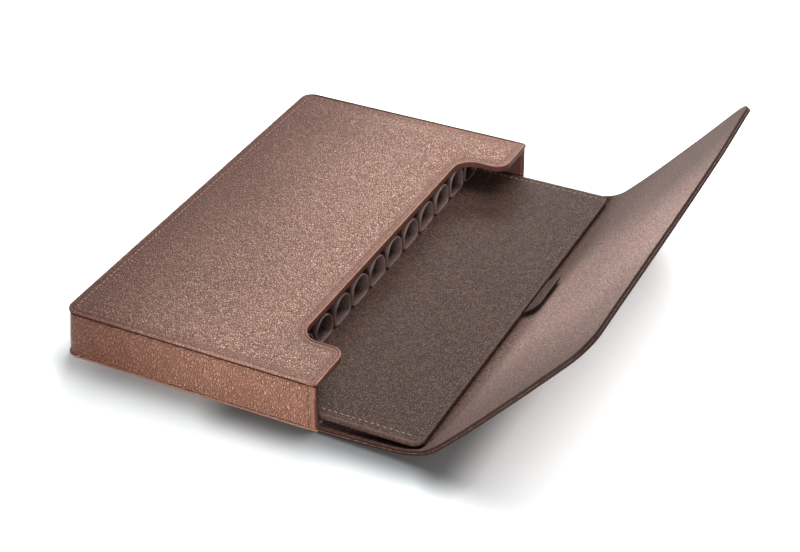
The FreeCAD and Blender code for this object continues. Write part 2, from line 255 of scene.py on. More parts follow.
class Bench:
    """One workpiece on the bench, shaped with the tools of edit mode."""

    def __init__(self, name: str) -> None:
        """Clears the bench for a piece of this name."""
        self.name = name
        self.piece: Piece | None = None
        self.finishes: tuple["Finish", ...] = ()
        bpy.ops.object.select_all(action="DESELECT")

    def _take(self, middle: Vector, size: Vector) -> None:
        """Names the new primitive and gives its mesh a place and a size.

        Args:
            middle: The middle's place.
            size: The size along each axis of a primitive that measures 1.
        """
        self.piece = bpy.context.active_object
        self.piece.name = self.name
        self.piece.data.name = self.name
        bpy.ops.object.transform_apply(location=True, rotation=True, scale=True)
        self.piece.location = middle * MM
        self.piece.scale = size * MM
        bpy.ops.object.transform_apply(location=True, rotation=True, scale=True)

    def _hold(self) -> None:
        """Selects the piece alone and makes it the active one."""
        bpy.ops.object.select_all(action="DESELECT")
        self.piece.select_set(True)
        bpy.context.view_layer.objects.active = self.piece

    def plane(self, x: Span, y: Span, z: float) -> None:
        """Lays a flat rectangle."""
        bpy.ops.mesh.primitive_plane_add(size=1.0)
        self._take(Vector((sum(x) / 2.0, sum(y) / 2.0, z)), Vector((x[1] - x[0], y[1] - y[0], 1.0)))

    def tube(self, x: Span, z: float, radius: float, sides: int) -> None:
        """Sets an open tube that lies along the middle of the case."""
        bpy.ops.mesh.primitive_cylinder_add(
            vertices=sides, radius=1.0, depth=1.0, end_fill_type="NOTHING", rotation=LYING
        )
        self._take(Vector((sum(x) / 2.0, 0.0, z)), Vector((x[1] - x[0], radius, radius)))

    def ball(self, facets: int, radii: Vector) -> None:
        """Sets a ball whose poles point along the case."""
        bpy.ops.mesh.primitive_uv_sphere_add(segments=facets, ring_count=facets, radius=1.0, rotation=LYING)
        self._take(Vector(), radii)

    @contextmanager
    def work(self) -> Iterator[None]:
        """Edit mode on the piece, with nothing selected at the start."""
        self._hold()
        bpy.ops.object.mode_set(mode="EDIT")
        bpy.ops.mesh.select_all(action="DESELECT")
        try:
            yield
        finally:
            bpy.ops.object.mode_set(mode="OBJECT")

    @staticmethod
    def _line(edge: bmesh.types.BMEdge) -> tuple[Vector, Vector]:
        """An edge's middle in millimetres and its direction."""
        start, end = (point.co for point in edge.verts)
        return (start + end) / (2.0 * MM), (end - start).normalized()

    def pick(self, element: Element, test: Test) -> bool:
        """Selects by place.

        Args:
            element: What to select.
            test: Takes the middle of an element in millimetres and its normal, or an
                edge's direction, and says whether it is wanted.

        Returns:
            Whether anything was selected.
        """
        bpy.context.tool_settings.mesh_select_mode = element.value
        bpy.ops.mesh.select_all(action="DESELECT")
        mesh = bmesh.from_edit_mesh(self.piece.data)
        if element is Element.POINTS:
            found = [v for v in mesh.verts if test(v.co / MM, v.normal)]
        elif element is Element.EDGES:
            found = [e for e in mesh.edges if test(*self._line(e))]
        else:
            found = [f for f in mesh.faces if test(f.calc_center_median() / MM, f.normal)]
        for item in found:
            item.select_set(True)
        mesh.select_flush_mode()
        bmesh.update_edit_mesh(self.piece.data)
        return bool(found)

    @staticmethod
    def all(element: Element = Element.FACES) -> None:
        """Selects the whole piece."""
        bpy.context.tool_settings.mesh_select_mode = element.value
        bpy.ops.mesh.select_all(action="SELECT")

    @staticmethod
    def extrude(x: float = 0.0, y: float = 0.0, z: float = 0.0) -> None:
        """Draws the selection out by a step."""
        bpy.ops.mesh.extrude_region_move(TRANSFORM_OT_translate={"value": (x * MM, y * MM, z * MM)})

    @staticmethod
    def inset(width: float) -> None:
        """Insets the selected face."""
        bpy.ops.mesh.inset(thickness=width * MM, depth=0.0, use_even_offset=True)

    def inset_rings(self, rings: Sequence[float], merge_at: float) -> None:
        """Insets the selected face ring by ring.

        Args:
            rings: Distance of each ring from the face's edge.
            merge_at: The ring at which points that have run together on a corner are merged.
        """
        for last, ring in zip((0.0, *rings), rings):
            self.inset(ring - last)
            if ring == merge_at:
                bpy.ops.mesh.remove_doubles(threshold=0.2 * MM)

    @staticmethod
    def _bevel(affect: str, width: float, segments: int) -> None:
        """Bevels the selected points or edges."""
        bpy.ops.mesh.bevel(
            offset_type="OFFSET", offset=width * MM, segments=segments, profile=0.5, affect=affect,
            clamp_overlap=False,
        )

    def round_corner(self, x: float, y: float, radius: float, segments: int) -> None:
        """Rounds one corner of a flat outline."""
        self.pick(Element.POINTS, lambda p, n: abs(p.x - x) < MATCH and abs(p.y - y) < MATCH)
        self._bevel("VERTICES", radius, segments)

    def break_edges(self, test: Test, width: float, segments: int) -> None:
        """Bevels the edges that pass a test."""
        if self.pick(Element.EDGES, test):
            self._bevel("EDGES", width, segments)

    def cut(self, axis: Axis, places: Iterable[float]) -> None:
        """Cuts the whole piece into rows.

        Args:
            axis: The axis that the cuts are square to.
            places: Where they are on it.
        """
        normal = Vector((0.0, 0.0, 0.0))
        normal[axis.value] = 1.0
        for place in places:
            self.all()
            bpy.ops.mesh.bisect(plane_co=normal * place * MM, plane_no=normal, use_fill=False)

    def remove(self, element: Element, test: Test, kind: str) -> None:
        """Deletes what passes a test, as one of the kinds of the delete tool."""
        if self.pick(element, test):
            bpy.ops.mesh.delete(type=kind)

    def shape(self, move: Callable[[Vector], Vector]) -> None:
        """Moves every point of the piece.

        Args:
            move: Takes a place in millimetres and returns the new one.
        """
        for vertex in self.piece.data.vertices:
            vertex.co = move(vertex.co / MM) * MM
        self.piece.data.update()

    def face_out(self, inside: Vector) -> None:
        """Turns the faces of an open shell outwards.

        Args:
            inside: A place inside the shell.
        """
        with self.work():
            self.all()
            bpy.ops.mesh.normals_make_consistent(inside=False)
            mesh = bmesh.from_edit_mesh(self.piece.data)
            if sum((f.calc_center_median() / MM - inside).dot(f.normal) * f.calc_area() for f in mesh.faces) < 0.0:
                bpy.ops.mesh.flip_normals()

    def _modify(self, kind: str, **settings: object) -> None:
        """Runs a modifier on the piece.

        Args:
            kind: The modifier's type.
            **settings: Its settings.
        """
        modifier = self.piece.modifiers.new(kind.lower(), kind)
        for name, value in settings.items():
            setattr(modifier, name, value)
        self._hold()
        bpy.ops.object.modifier_apply(modifier=modifier.name)

    def thicken(self, thickness: float) -> None:
        """Gives a sheet its thickness, inwards from its face."""
        self._modify("SOLIDIFY", thickness=thickness * MM, offset=-1.0, use_even_offset=True)

    def round_rims(self, width: float, segments: int, angle: float) -> None:
        """Rounds every edge sharper than an angle in degrees."""
        self._modify(
            "BEVEL", width=width * MM, segments=segments, limit_method="ANGLE",
            angle_limit=math.radians(angle), use_clamp_overlap=True,
        )

    def mark(self, name: str, amount: Callable[[Vector], float]) -> None:
        """Marks each point with an amount from 0 to 1 that the finishes read.

        Args:
            name: The mark's name.
            amount: Takes a place in millimetres and returns how much is there.
        """
        values = [min(max(amount(v.co / MM), 0.0), 1.0) for v in self.piece.data.vertices]
        self.piece.data.attributes.new(name, "FLOAT", "POINT").data.foreach_set("value", values)

    def dress(self, *finishes: "Finish") -> None:
        """Gives the piece its finishes, the first one on every face."""
        self.finishes = finishes
        for finish in finishes:
            self.piece.data.materials.append(finish.material())

    def paint(self, finish: "Finish", test: Test) -> None:
        """Puts one of the piece's finishes on the faces that pass a test."""
        for polygon in self.piece.data.polygons:
            if test(polygon.center / MM, polygon.normal):
                polygon.material_index = self.finishes.index(finish)

    def finish(self, angle: float) -> Piece:
        """Ends the work on the piece.

        Args:
            angle: Edges up to this many degrees are shaded smooth.

        Returns:
            The piece.
        """
        self._hold()
        bpy.ops.object.shade_smooth_by_angle(angle=math.radians(angle))
        LOG.info("%s: %d faces", self.name, len(self.piece.data.polygons))
        return self.piece


class Graph:
    """Adds and joins the nodes of one material or node group."""

    def __init__(self, tree: bpy.types.NodeTree) -> None:
        """Starts on an empty tree."""
        self.tree = tree
        tree.nodes.clear()

    def add(self, kind: str, sockets: dict | None = None, **settings: object) -> Node:
        """Adds a node.

        Args:
            kind: The node's type.
            sockets: Values, or sockets to join, by input name or number.
            **settings: The node's own settings.

        Returns:
            The node.
        """
        node = self.tree.nodes.new(kind)
        for name, value in settings.items():
            setattr(node, name, value)
        self.join(node, sockets or {})
        return node

    def join(self, node: Node, sockets: dict) -> None:
        """Sets inputs of a node or joins them to other sockets.

        Args:
            node: The node.
            sockets: Values, or sockets to join, by input name or number.
        """
        for name, value in sockets.items():
            socket = node.inputs[name]
            if isinstance(value, Socket):
                self.tree.links.new(value, socket)
            elif socket.type == "RGBA":
                socket.default_value = (*value, 1.0)
            else:
                socket.default_value = value

    def sum(self, operation: str, *values: object) -> Socket:
        """One step of arithmetic."""
        return self.add("ShaderNodeMath", dict(enumerate(values)), operation=operation).outputs[0]

    def vector(self, operation: str, *values: object) -> Socket:
        """One step of arithmetic with vectors."""
        return self.add("ShaderNodeVectorMath", dict(enumerate(values)), operation=operation).outputs[0]

    def span(self, value: object, low: float, high: float, to: Span = (0.0, 1.0)) -> Socket:
        """Maps a range softly onto another one."""
        sockets = {"Value": value, "From Min": low, "From Max": high, "To Min": to[0], "To Max": to[1]}
        return self.add("ShaderNodeMapRange", sockets, interpolation_type="SMOOTHSTEP").outputs["Result"]

    def blend(self, factor: object, a: object, b: object, mode: str = "MIX") -> Socket:
        """Mixes two colours."""
        return self.add("ShaderNodeMix", {0: factor, 6: a, 7: b}, data_type="RGBA", blend_type=mode).outputs[2]

    def shade(self, colour: object, value: Socket) -> Socket:
        """Darkens a colour by a value."""
        grey = self.add("ShaderNodeCombineColor", {0: value, 1: value, 2: value}).outputs[0]
        return self.blend(1.0, colour, grey, "MULTIPLY")

    def noise(self, vector: object, scale: float, detail: float = 2.0, rough: float = 0.5) -> Socket:
        """Soft noise, about 0.5 on average."""
        sockets = {"Vector": vector, "Scale": scale, "Detail": detail, "Roughness": rough}
        return self.add("ShaderNodeTexNoise", sockets).outputs[0]

    def group(self, tree: bpy.types.NodeTree, sockets: dict) -> bpy.types.NodeOutputs:
        """The outputs of a shared effect."""
        return self.add("ShaderNodeGroup", sockets, node_tree=tree).outputs

    def place(self) -> Socket:
        """The object's own coordinates."""
        return self.add("ShaderNodeTexCoord").outputs["Object"]

    def mark(self, name: str) -> Socket:
        """A number painted on the piece's points."""
        return self.add("ShaderNodeAttribute", attribute_name=name).outputs["Fac"]

    def seen(self) -> Socket:
        """1 for what the camera sees, also in a mirror or through glass, and 0 for what only gives light."""
        path = self.add("ShaderNodeLightPath").outputs
        indirect = self.sum("MAXIMUM", path["Is Glossy Ray"], path["Is Transmission Ray"])
        return self.sum("MAXIMUM", path["Is Camera Ray"], indirect)


class Effects:
    """Shared surface effects, each built once as a shader node group."""

    @staticmethod
    def _group(
        name: str, inputs: dict[str, float], outputs: Sequence[str]
    ) -> tuple[Graph, bpy.types.NodeOutputs, Node]:
        """Starts a group.

        Args:
            name: The group's name.
            inputs: Its inputs after the place, each with its usual value.
            outputs: Its outputs.

        Returns:
            The group's graph, the sockets that enter it and the node that they leave by.
        """
        graph = Graph(bpy.data.node_groups.new(name, "ShaderNodeTree"))
        sockets = graph.tree.interface
        sockets.new_socket(name="Vector", in_out="INPUT", socket_type="NodeSocketVector")
        for socket, value in inputs.items():
            made = sockets.new_socket(name=socket, in_out="INPUT", socket_type="NodeSocketFloat")
            made.default_value = value
        for socket in outputs:
            sockets.new_socket(name=socket, in_out="OUTPUT", socket_type="NodeSocketFloat")
        return graph, graph.add("NodeGroupInput").outputs, graph.add("NodeGroupOutput")

    @staticmethod
    @cache
    def grain() -> bpy.types.NodeTree:
        """Rounded pebbles of leather, with the valleys between them.

        Returns:
            The group; its outputs are the height, the valleys and a tone for each pebble.
        """
        graph, entry, leave = Effects._group(
            "leather_grain", {"Pebbles per metre": 1400.0, "Wander": 0.0004}, ["Height", "Valley", "Tone"]
        )
        swirl = graph.add("ShaderNodeTexNoise", {"Vector": entry["Vector"], "Scale": 420.0, "Detail": 2.0})
        centred = graph.vector("SUBTRACT", swirl.outputs["Color"], (0.5, 0.5, 0.5))
        pushed = graph.add("ShaderNodeVectorMath", {0: centred, "Scale": entry["Wander"]}, operation="SCALE")
        vector = graph.vector("ADD", entry["Vector"], pushed.outputs[0])
        pebbles = {"Vector": vector, "Scale": entry["Pebbles per metre"]}
        rim = graph.add("ShaderNodeTexVoronoi", pebbles, feature="DISTANCE_TO_EDGE").outputs["Distance"]
        single = graph.add("ShaderNodeTexVoronoi", pebbles).outputs["Color"]
        dome = graph.sum("MULTIPLY", graph.span(rim, 0.0, 0.32), 0.75)
        fine = graph.sum("MULTIPLY", graph.noise(vector, 5200.0, 3.0), 0.25)
        graph.join(leave, {
            "Height": graph.sum("ADD", dome, fine),
            "Valley": graph.span(rim, 0.02, 0.2, (1.0, 0.0)),
            "Tone": graph.add("ShaderNodeSeparateColor", {"Color": single}).outputs[0],
        })
        return graph.tree

    @staticmethod
    @cache
    def mottle() -> bpy.types.NodeTree:
        """Broad and fine clouds of a hand-stained surface.

        Returns:
            The group; its outputs are a shade round 1 and the broad patches.
        """
        graph, entry, leave = Effects._group("mottle", {"Amount": 0.1}, ["Shade", "Patch"])
        broad = graph.noise(entry["Vector"], 26.0, 3.0, 0.55)
        middle = graph.noise(entry["Vector"], 190.0, 3.0, 0.6)
        both = graph.sum("ADD", graph.sum("MULTIPLY", broad, 0.6), graph.sum("MULTIPLY", middle, 0.4))
        centred = graph.sum("SUBTRACT", both, 0.5)
        graph.join(leave, {
            "Shade": graph.sum("MULTIPLY_ADD", centred, entry["Amount"], 1.0),
            "Patch": graph.span(broad, 0.35, 0.65),
        })
        return graph.tree

    @staticmethod
    @cache
    def rub() -> bpy.types.NodeTree:
        """Edge wear, broken up along its border.

        Returns:
            The group; its output is how far each place is rubbed.
        """
        graph, entry, leave = Effects._group("rubbed_edge", {"Wear": 0.0}, ["Mask"])
        patchy = graph.noise(entry["Vector"], 380.0, 4.0, 0.65)
        broken = graph.sum("MULTIPLY", entry["Wear"], graph.span(patchy, 0.25, 0.6, (0.55, 1.15)))
        graph.join(leave, {"Mask": graph.sum("MINIMUM", broken, 1.0)})
        return graph.tree


class Finish:
    """A finish that builds its material once and hands out the same one after that."""

    name: str

    @cache
    def material(self) -> bpy.types.Material:
        """Builds the material.

        Returns:
            The finish as a material.
        """
        made = bpy.data.materials.new(self.name)
        made.use_nodes = True
        graph = Graph(made.node_tree)
        shader = graph.add("ShaderNodeBsdfPrincipled")
        graph.add("ShaderNodeOutputMaterial", {"Surface": shader.outputs[0]})
        graph.join(shader, self.mix(graph))
        return made

    def mix(self, graph: Graph) -> dict[str, object]:
        """The finish's values, or the sockets that give them, by the shader's input."""
        raise NotImplementedError

    @staticmethod
    def relief(graph: Graph, height: object, distance: float, strength: float) -> Socket:
        """The normal of a surface lifted by a height."""
        sockets = {"Height": height, "Distance": distance * MM, "Strength": strength}
        return graph.add("ShaderNodeBump", sockets).outputs["Normal"]


@dataclass(frozen=True)
class GrainLeather(Finish):
    """Leather with a pebble or drawn grain, clouds of stain, rubbed edges and a painted shade towards the case's
    closed end.
    """

    name: str
    base: Colour
    valley: Colour
    crest: Colour
    rubbed: Colour
    pressed: Colour = (0.15, 0.068, 0.048)
    back_shade_colour: Colour = (0.27, 0.13, 0.08)
    pebble: float = 1.15
    draw: Triple = (1.0, 1.0, 1.0)
    depth: float = 0.12
    strength: float = 0.8
    roughness: float = 0.5
    shine: float = 0.5
    clouds: float = 0.5
    valley_share: float = 0.85
    tone: float = 0.6
    back_shade: float = 0.8

    def mix(self, graph: Graph) -> dict[str, object]:
        """Mixes grain, stain, wear and the painted shade.

        Args:
            graph: The material's graph.

        Returns:
            The values by the shader's input.
        """
        place, press = graph.place(), graph.mark("press")
        grain = graph.group(Effects.grain(), {
            "Vector": graph.add("ShaderNodeMapping", {"Vector": place, "Scale": self.draw}).outputs[0],
            "Pebbles per metre": 1.0 / MM / self.pebble,
            "Wander": self.pebble * 0.6 * MM,
        })
        cloud = graph.group(Effects.mottle(), {"Vector": place, "Amount": self.clouds})
        rub = graph.group(Effects.rub(), {"Vector": place, "Wear": graph.mark("wear")})["Mask"]
        shaded = graph.shade(self.base, cloud["Shade"])
        toned = graph.blend(graph.sum("MULTIPLY", grain["Tone"], self.tone), shaded, self.crest)
        stained = graph.blend(graph.sum("MULTIPLY", grain["Valley"], self.valley_share), toned, self.valley)
        worn = graph.blend(rub, stained, self.rubbed)
        sunk = graph.blend(graph.sum("MULTIPLY", press, 0.7), worn, self.pressed)
        # Painted shade: the colour is darkened towards the case's closed end, where the light falls off.
        shade_share = graph.sum("MULTIPLY", graph.mark("back_shade"), self.back_shade)
        rough = graph.sum("MULTIPLY_ADD", grain["Valley"], 0.2, self.roughness)
        rough = graph.sum("ADD", rough, graph.sum("MULTIPLY", press, 0.18))
        flat = graph.sum("MULTIPLY", grain["Height"], graph.span(press, 0.0, 1.0, (1.0, 0.6)))
        return {
            "Base Color": graph.blend(shade_share, sunk, self.back_shade_colour, "MULTIPLY"),
            "Roughness": graph.sum("SUBTRACT", rough, graph.sum("MULTIPLY", rub, 0.1)),
            "Specular IOR Level": self.shine,
            "Normal": self.relief(graph, flat, self.depth, self.strength),
        }


@dataclass(frozen=True)
class Suede(Finish):
    """Soft lining with a fine nap, brushed one way or the other, with light painted where its 'nap' mark lies."""

    name: str
    base: Colour
    nap: Colour
    fleck: Colour
    pit: Colour
    lit_middle: Colour
    roughness: Span = (0.72, 0.88)

    def mix(self, graph: Graph) -> dict[str, object]:
        """Mixes the nap, its flecks and the painted light.

        Args:
            graph: The material's graph.

        Returns:
            The values by the shader's input.
        """
        place = graph.place()
        cloud = graph.group(Effects.mottle(), {"Vector": place, "Amount": 0.3})
        fibre = graph.noise(place, 1150.0, 3.0, 0.6)
        brushed = graph.blend(graph.span(cloud["Patch"], 0.0, 1.0, (0.3, 0.7)), self.base, self.nap)
        # Painted light: the 'nap' mark brightens the lining across the flap's middle.
        middle_lit = graph.blend(graph.mark("nap"), brushed, self.lit_middle)
        shaded = graph.shade(middle_lit, cloud["Shade"])
        light = graph.blend(graph.span(fibre, 0.5, 0.62), shaded, self.fleck, "MULTIPLY")
        return {
            "Base Color": graph.blend(graph.span(fibre, 0.5, 0.4), light, self.pit, "MULTIPLY"),
            "Roughness": graph.span(fibre, 0.2, 0.8, self.roughness),
            "Specular IOR Level": 0.12,
            "Sheen Weight": 0.05,
            "Sheen Roughness": 0.5,
            "Normal": self.relief(graph, fibre, 0.35, 0.9),
        }


@dataclass(frozen=True)
class EdgePaint(Finish):
    """Painted and burnished edge of cut leather."""

    name: str
    base: Colour
    light: Colour
    roughness: Span
    shine: float

    def mix(self, graph: Graph) -> dict[str, object]:
        """Mixes the brushed paint.

        Args:
            graph: The material's graph.

        Returns:
            The values by the shader's input.
        """
        place = graph.place()
        brushed = graph.noise(place, 900.0, 4.0, 0.6)
        cloud = graph.group(Effects.mottle(), {"Vector": place, "Amount": 0.5})
        colour = graph.blend(graph.span(brushed, 0.45, 0.75), self.base, self.light)
        return {
            "Base Color": graph.shade(colour, cloud["Shade"]),
            "Roughness": graph.span(brushed, 0.2, 0.8, self.roughness),
            "Specular IOR Level": self.shine,
            "Normal": self.relief(graph, brushed, 0.08, 0.5),
        }


@dataclass(frozen=True)
class Thread(Finish):
    """Waxed thread with its twist."""

    name: str
    base: Colour
    dark: Colour

    def mix(self, graph: Graph) -> dict[str, object]:
        """Mixes the twist of the thread.

        Args:
            graph: The material's graph.

        Returns:
            The values by the shader's input.
        """
        slant = (0.0, 0.0, 0.7)
        turned = graph.add("ShaderNodeMapping", {"Vector": graph.place(), "Rotation": slant}).outputs[0]
        wave = {"Vector": turned, "Scale": 900.0, "Distortion": 1.5}
        twist = graph.add("ShaderNodeTexWave", wave, wave_type="BANDS").outputs["Fac"]
        return {
            "Base Color": graph.blend(graph.span(twist, 0.1, 0.7), self.dark, self.base),
            "Roughness": graph.span(twist, 0.0, 1.0, (0.62, 0.5)),
            "Normal": self.relief(graph, twist, 0.06, 0.5),
        }


@dataclass(frozen=True)
class Pressed(Finish):
    """Board, felt, plated metal or a needle hole: a plain finish with specks of its own."""

    name: str
    base: Colour
    speck: Colour
    size: float
    roughness: Span
    metallic: float = 0.0

    def mix(self, graph: Graph) -> dict[str, object]:
        """Mixes the specks.

        Args:
            graph: The material's graph.

        Returns:
            The values by the shader's input.
        """
        speck = graph.noise(graph.place(), 1.0 / MM / self.size, 4.0, 0.65)
        return {
            "Base Color": graph.blend(graph.span(speck, 0.42, 0.7), self.base, self.speck),
            "Roughness": graph.span(speck, 0.2, 0.8, self.roughness),
            "Metallic": self.metallic,
            "Normal": self.relief(graph, speck, self.size * 0.1, 0.4),
        }


TOP_LEATHER = GrainLeather(
    "top_leather", base=(0.32, 0.155, 0.104), valley=(0.06, 0.022, 0.014), crest=(0.84, 0.56, 0.45),
    rubbed=(0.42, 0.21, 0.15), pebble=1.05, depth=0.85, strength=1.0, roughness=0.34, shine=0.22,
    valley_share=0.9, tone=0.5, back_shade=0.84,
)
WALL_LEATHER = GrainLeather(
    "wall_leather", base=(0.34, 0.16, 0.107), valley=(0.08, 0.028, 0.017), crest=(0.5, 0.27, 0.19),
    rubbed=(0.44, 0.24, 0.17), pebble=1.05, draw=(1.0, 1.0, 0.5), depth=1.4, strength=1.0, roughness=0.42,
    shine=0.24, valley_share=0.6, tone=0.2, back_shade=0.6,
)
FLAP_LEATHER = GrainLeather(
    "flap_leather", base=(0.25, 0.108, 0.068), valley=(0.045, 0.015, 0.009), crest=(0.6, 0.33, 0.24),
    rubbed=(0.42, 0.21, 0.15), pebble=1.1, depth=0.5, strength=1.0, roughness=0.38, shine=0.24,
    valley_share=0.95, tone=0.7,
)
TURNED_EDGE = GrainLeather(
    "turned_edge", base=(0.2, 0.085, 0.055), valley=(0.07, 0.026, 0.016), crest=(0.28, 0.13, 0.088),
    rubbed=(0.4, 0.21, 0.15), pebble=0.9, depth=0.4, roughness=0.45, shine=0.25, valley_share=0.6,
)
# Dark leather of the notch's edge. It is also painted on the walls' front ends as their shade.
NOTCH_LEATHER_AND_SHADE = GrainLeather(
    "notch_edge_leather_and_painted_shade", base=(0.075, 0.029, 0.02), valley=(0.035, 0.013, 0.009), crest=(0.1, 0.042, 0.03),
    rubbed=(0.36, 0.19, 0.14), pebble=0.6, depth=0.06, strength=0.4, shine=0.13, valley_share=0.35,
)
# Near-black seam welt. It is also painted as shade on the top's rims and inside the walls' front ends.
WELT_AND_PAINTED_SHADE = GrainLeather(
    "seam_welt", base=(0.026, 0.0105, 0.0075), valley=(0.014, 0.0055, 0.004), crest=(0.034, 0.014, 0.01),
    rubbed=(0.06, 0.028, 0.021), pebble=0.5, depth=0.05, strength=0.4, roughness=0.75, shine=0.06,
)
TRAY_LEATHER = GrainLeather(
    "tray_leather", base=(0.046, 0.022, 0.0155), valley=(0.014, 0.006, 0.004), crest=(0.13, 0.075, 0.058),
    rubbed=(0.16, 0.098, 0.08), pebble=1.0, depth=0.45, strength=1.0, shine=0.16, tone=0.7,
)
LOOP_LEATHER = GrainLeather(
    "loop_leather", base=(0.045, 0.026, 0.024), valley=(0.016, 0.009, 0.009), crest=(0.075, 0.045, 0.042),
    rubbed=(0.16, 0.1, 0.09), pebble=0.9, depth=0.25, strength=0.9, roughness=0.55, shine=0.28, clouds=0.6,
)
LINING = Suede(
    "lining_suede", base=(0.046, 0.0228, 0.0168), nap=(0.057, 0.0285, 0.0216), fleck=(1.75, 1.7, 1.65),
    pit=(0.42, 0.38, 0.36), lit_middle=(0.206, 0.134, 0.114),
)
INNER_SUEDE = Suede(
    "inner_suede", base=(0.13, 0.072, 0.055), nap=(0.15, 0.084, 0.065), fleck=(1.7, 1.65, 1.6),
    pit=(0.45, 0.41, 0.39), lit_middle=(0.2, 0.13, 0.11),
)
RAW_EDGE = EdgePaint("edge_paint", (0.014, 0.0056, 0.004), (0.026, 0.011, 0.008), roughness=(0.57, 0.79), shine=0.12)
FLAP_EDGE_HIGHLIGHT = EdgePaint("flap_edge_painted_highlight", (0.036, 0.0155, 0.011), (0.07, 0.032, 0.023), roughness=(0.57, 0.79), shine=0.12)
CUT_EDGE = EdgePaint("cut_edge", (0.16, 0.078, 0.056), (0.25, 0.135, 0.1), roughness=(0.52, 0.74), shine=0.25)
LOOP_RIM = EdgePaint("loop_rim", (0.09, 0.056, 0.047), (0.16, 0.105, 0.09), roughness=(0.52, 0.74), shine=0.3)
END_THREAD = Thread("end_thread", base=(0.1, 0.046, 0.033), dark=(0.05, 0.022, 0.016))
SEAM_THREAD = Thread("seam_thread", base=(0.28, 0.145, 0.105), dark=(0.14, 0.065, 0.048))
NOTCH_THREAD = Thread("notch_thread", base=(0.1, 0.045, 0.033), dark=(0.045, 0.02, 0.014))
TRAY_THREAD = Thread("tray_thread", base=(0.2, 0.13, 0.105), dark=(0.09, 0.055, 0.043))
FRONT_THREAD = Thread("front_thread", base=(0.055, 0.029, 0.022), dark=(0.03, 0.015, 0.011))
NEEDLE_HOLE = Pressed("needle_hole", (0.035, 0.018, 0.014), (0.06, 0.03, 0.024), size=0.2, roughness=(0.72, 0.88))
# Painted shade: the base board's edge shows in the shadow at the case's corner, so it is coloured near-black.
SHADED_BOARD = Pressed("board_painted_shade", (0.03, 0.015, 0.011), (0.045, 0.024, 0.018), size=0.6, roughness=(0.82, 0.98))
GREYBOARD = Pressed("greyboard", (0.35, 0.33, 0.3), (0.24, 0.22, 0.2), size=0.6, roughness=(0.82, 0.98))
FELT = Pressed("felt_padding", (0.6, 0.6, 0.58), (0.5, 0.5, 0.48), size=0.5, roughness=(0.87, 1.03))
MAGNET = Pressed("magnet_plate", (0.6, 0.6, 0.62), (0.5, 0.5, 0.52), size=0.3, roughness=(0.27, 0.43), metallic=1.0)

# The runs of the notched top's outline along its three walls, and those along the notch and the mouth.
WALL_RUNS = (6, 7, 0)
NOTCH_RUNS = (1, 2, 3, 4, 5)
# Into how many segments an arc of the case's plan is cut.
ARC = 14


def notched_plan(bench: Bench, z: float, notch_inset: float) -> None:
    """Lays out the top's plan with its finger notch as one flat face.

    Args:
        bench: The empty bench.
        z: Height of the face.
        notch_inset: How far the face stays back from the edge of the notch.
    """
    side = CASE.half_width
    notch_side = CASE.notch_side + notch_inset
    notch_back = CASE.notch_back - notch_inset
    mouth = CASE.mouth - notch_inset
    beside = side - 1.0
    bench.plane((CASE.back, notch_back), (-side, side), z)
    with bench.work():
        bench.cut(Axis.ACROSS, (-notch_side, notch_side))
        bench.pick(
            Element.EDGES, lambda p, d: p.x > notch_back - NEAR and abs(p.y) > notch_side and abs(d.y) > SQUARE
        )
        bench.extrude(x=mouth - notch_back)
        bench.all()
        bpy.ops.mesh.dissolve_faces()
        bench.pick(Element.POINTS, lambda p, n: p.x < CASE.back + NEAR and abs(p.y) < beside)
        bpy.ops.mesh.dissolve_verts()
        bench.pick(Element.POINTS, lambda p, n: abs(p.x - notch_back) < NEAR and abs(p.y) > beside)
        bpy.ops.mesh.dissolve_verts()
        for sign in SIDES:
            bench.round_corner(CASE.back, sign * side, CASE.corner_radius, 12)
            bench.round_corner(mouth, sign * side, 1.0, 5)
            bench.round_corner(mouth, sign * notch_side, CASE.notch_outer_radius - notch_inset, ARC)
            bench.round_corner(notch_back, sign * notch_side, CASE.notch_inner_radius + notch_inset, ARC)


def notch_outline(inset: float = 0.0) -> Outline:
    """The plan of the notched top as an outline to measure from.

    Args:
        inset: How far the outline stays back from the plan's edge.

    Returns:
        The outline.
    """
    side, mouth, notch_side = CASE.half_width - inset, CASE.mouth - inset, CASE.notch_side + inset
    far = [
        (CASE.notch_back - inset, notch_side, CASE.notch_inner_radius + inset),
        (mouth, notch_side, max(CASE.notch_outer_radius - inset, 0.3)),
        (mouth, side, 0.0),
        (CASE.back + inset, side, CASE.corner_radius - inset),
    ]
    return Outline([(x, -y, radius) for x, y, radius in reversed(far)] + far)


def back_shade_amount(p: Vector) -> float:
    """How much shade is painted onto the leather: most at the closed end, where the light falls off."""
    border, drift = 20.0, unevenness(p, 40.0, 8.0)
    return smooth_step(p.x + drift, border, CASE.back)


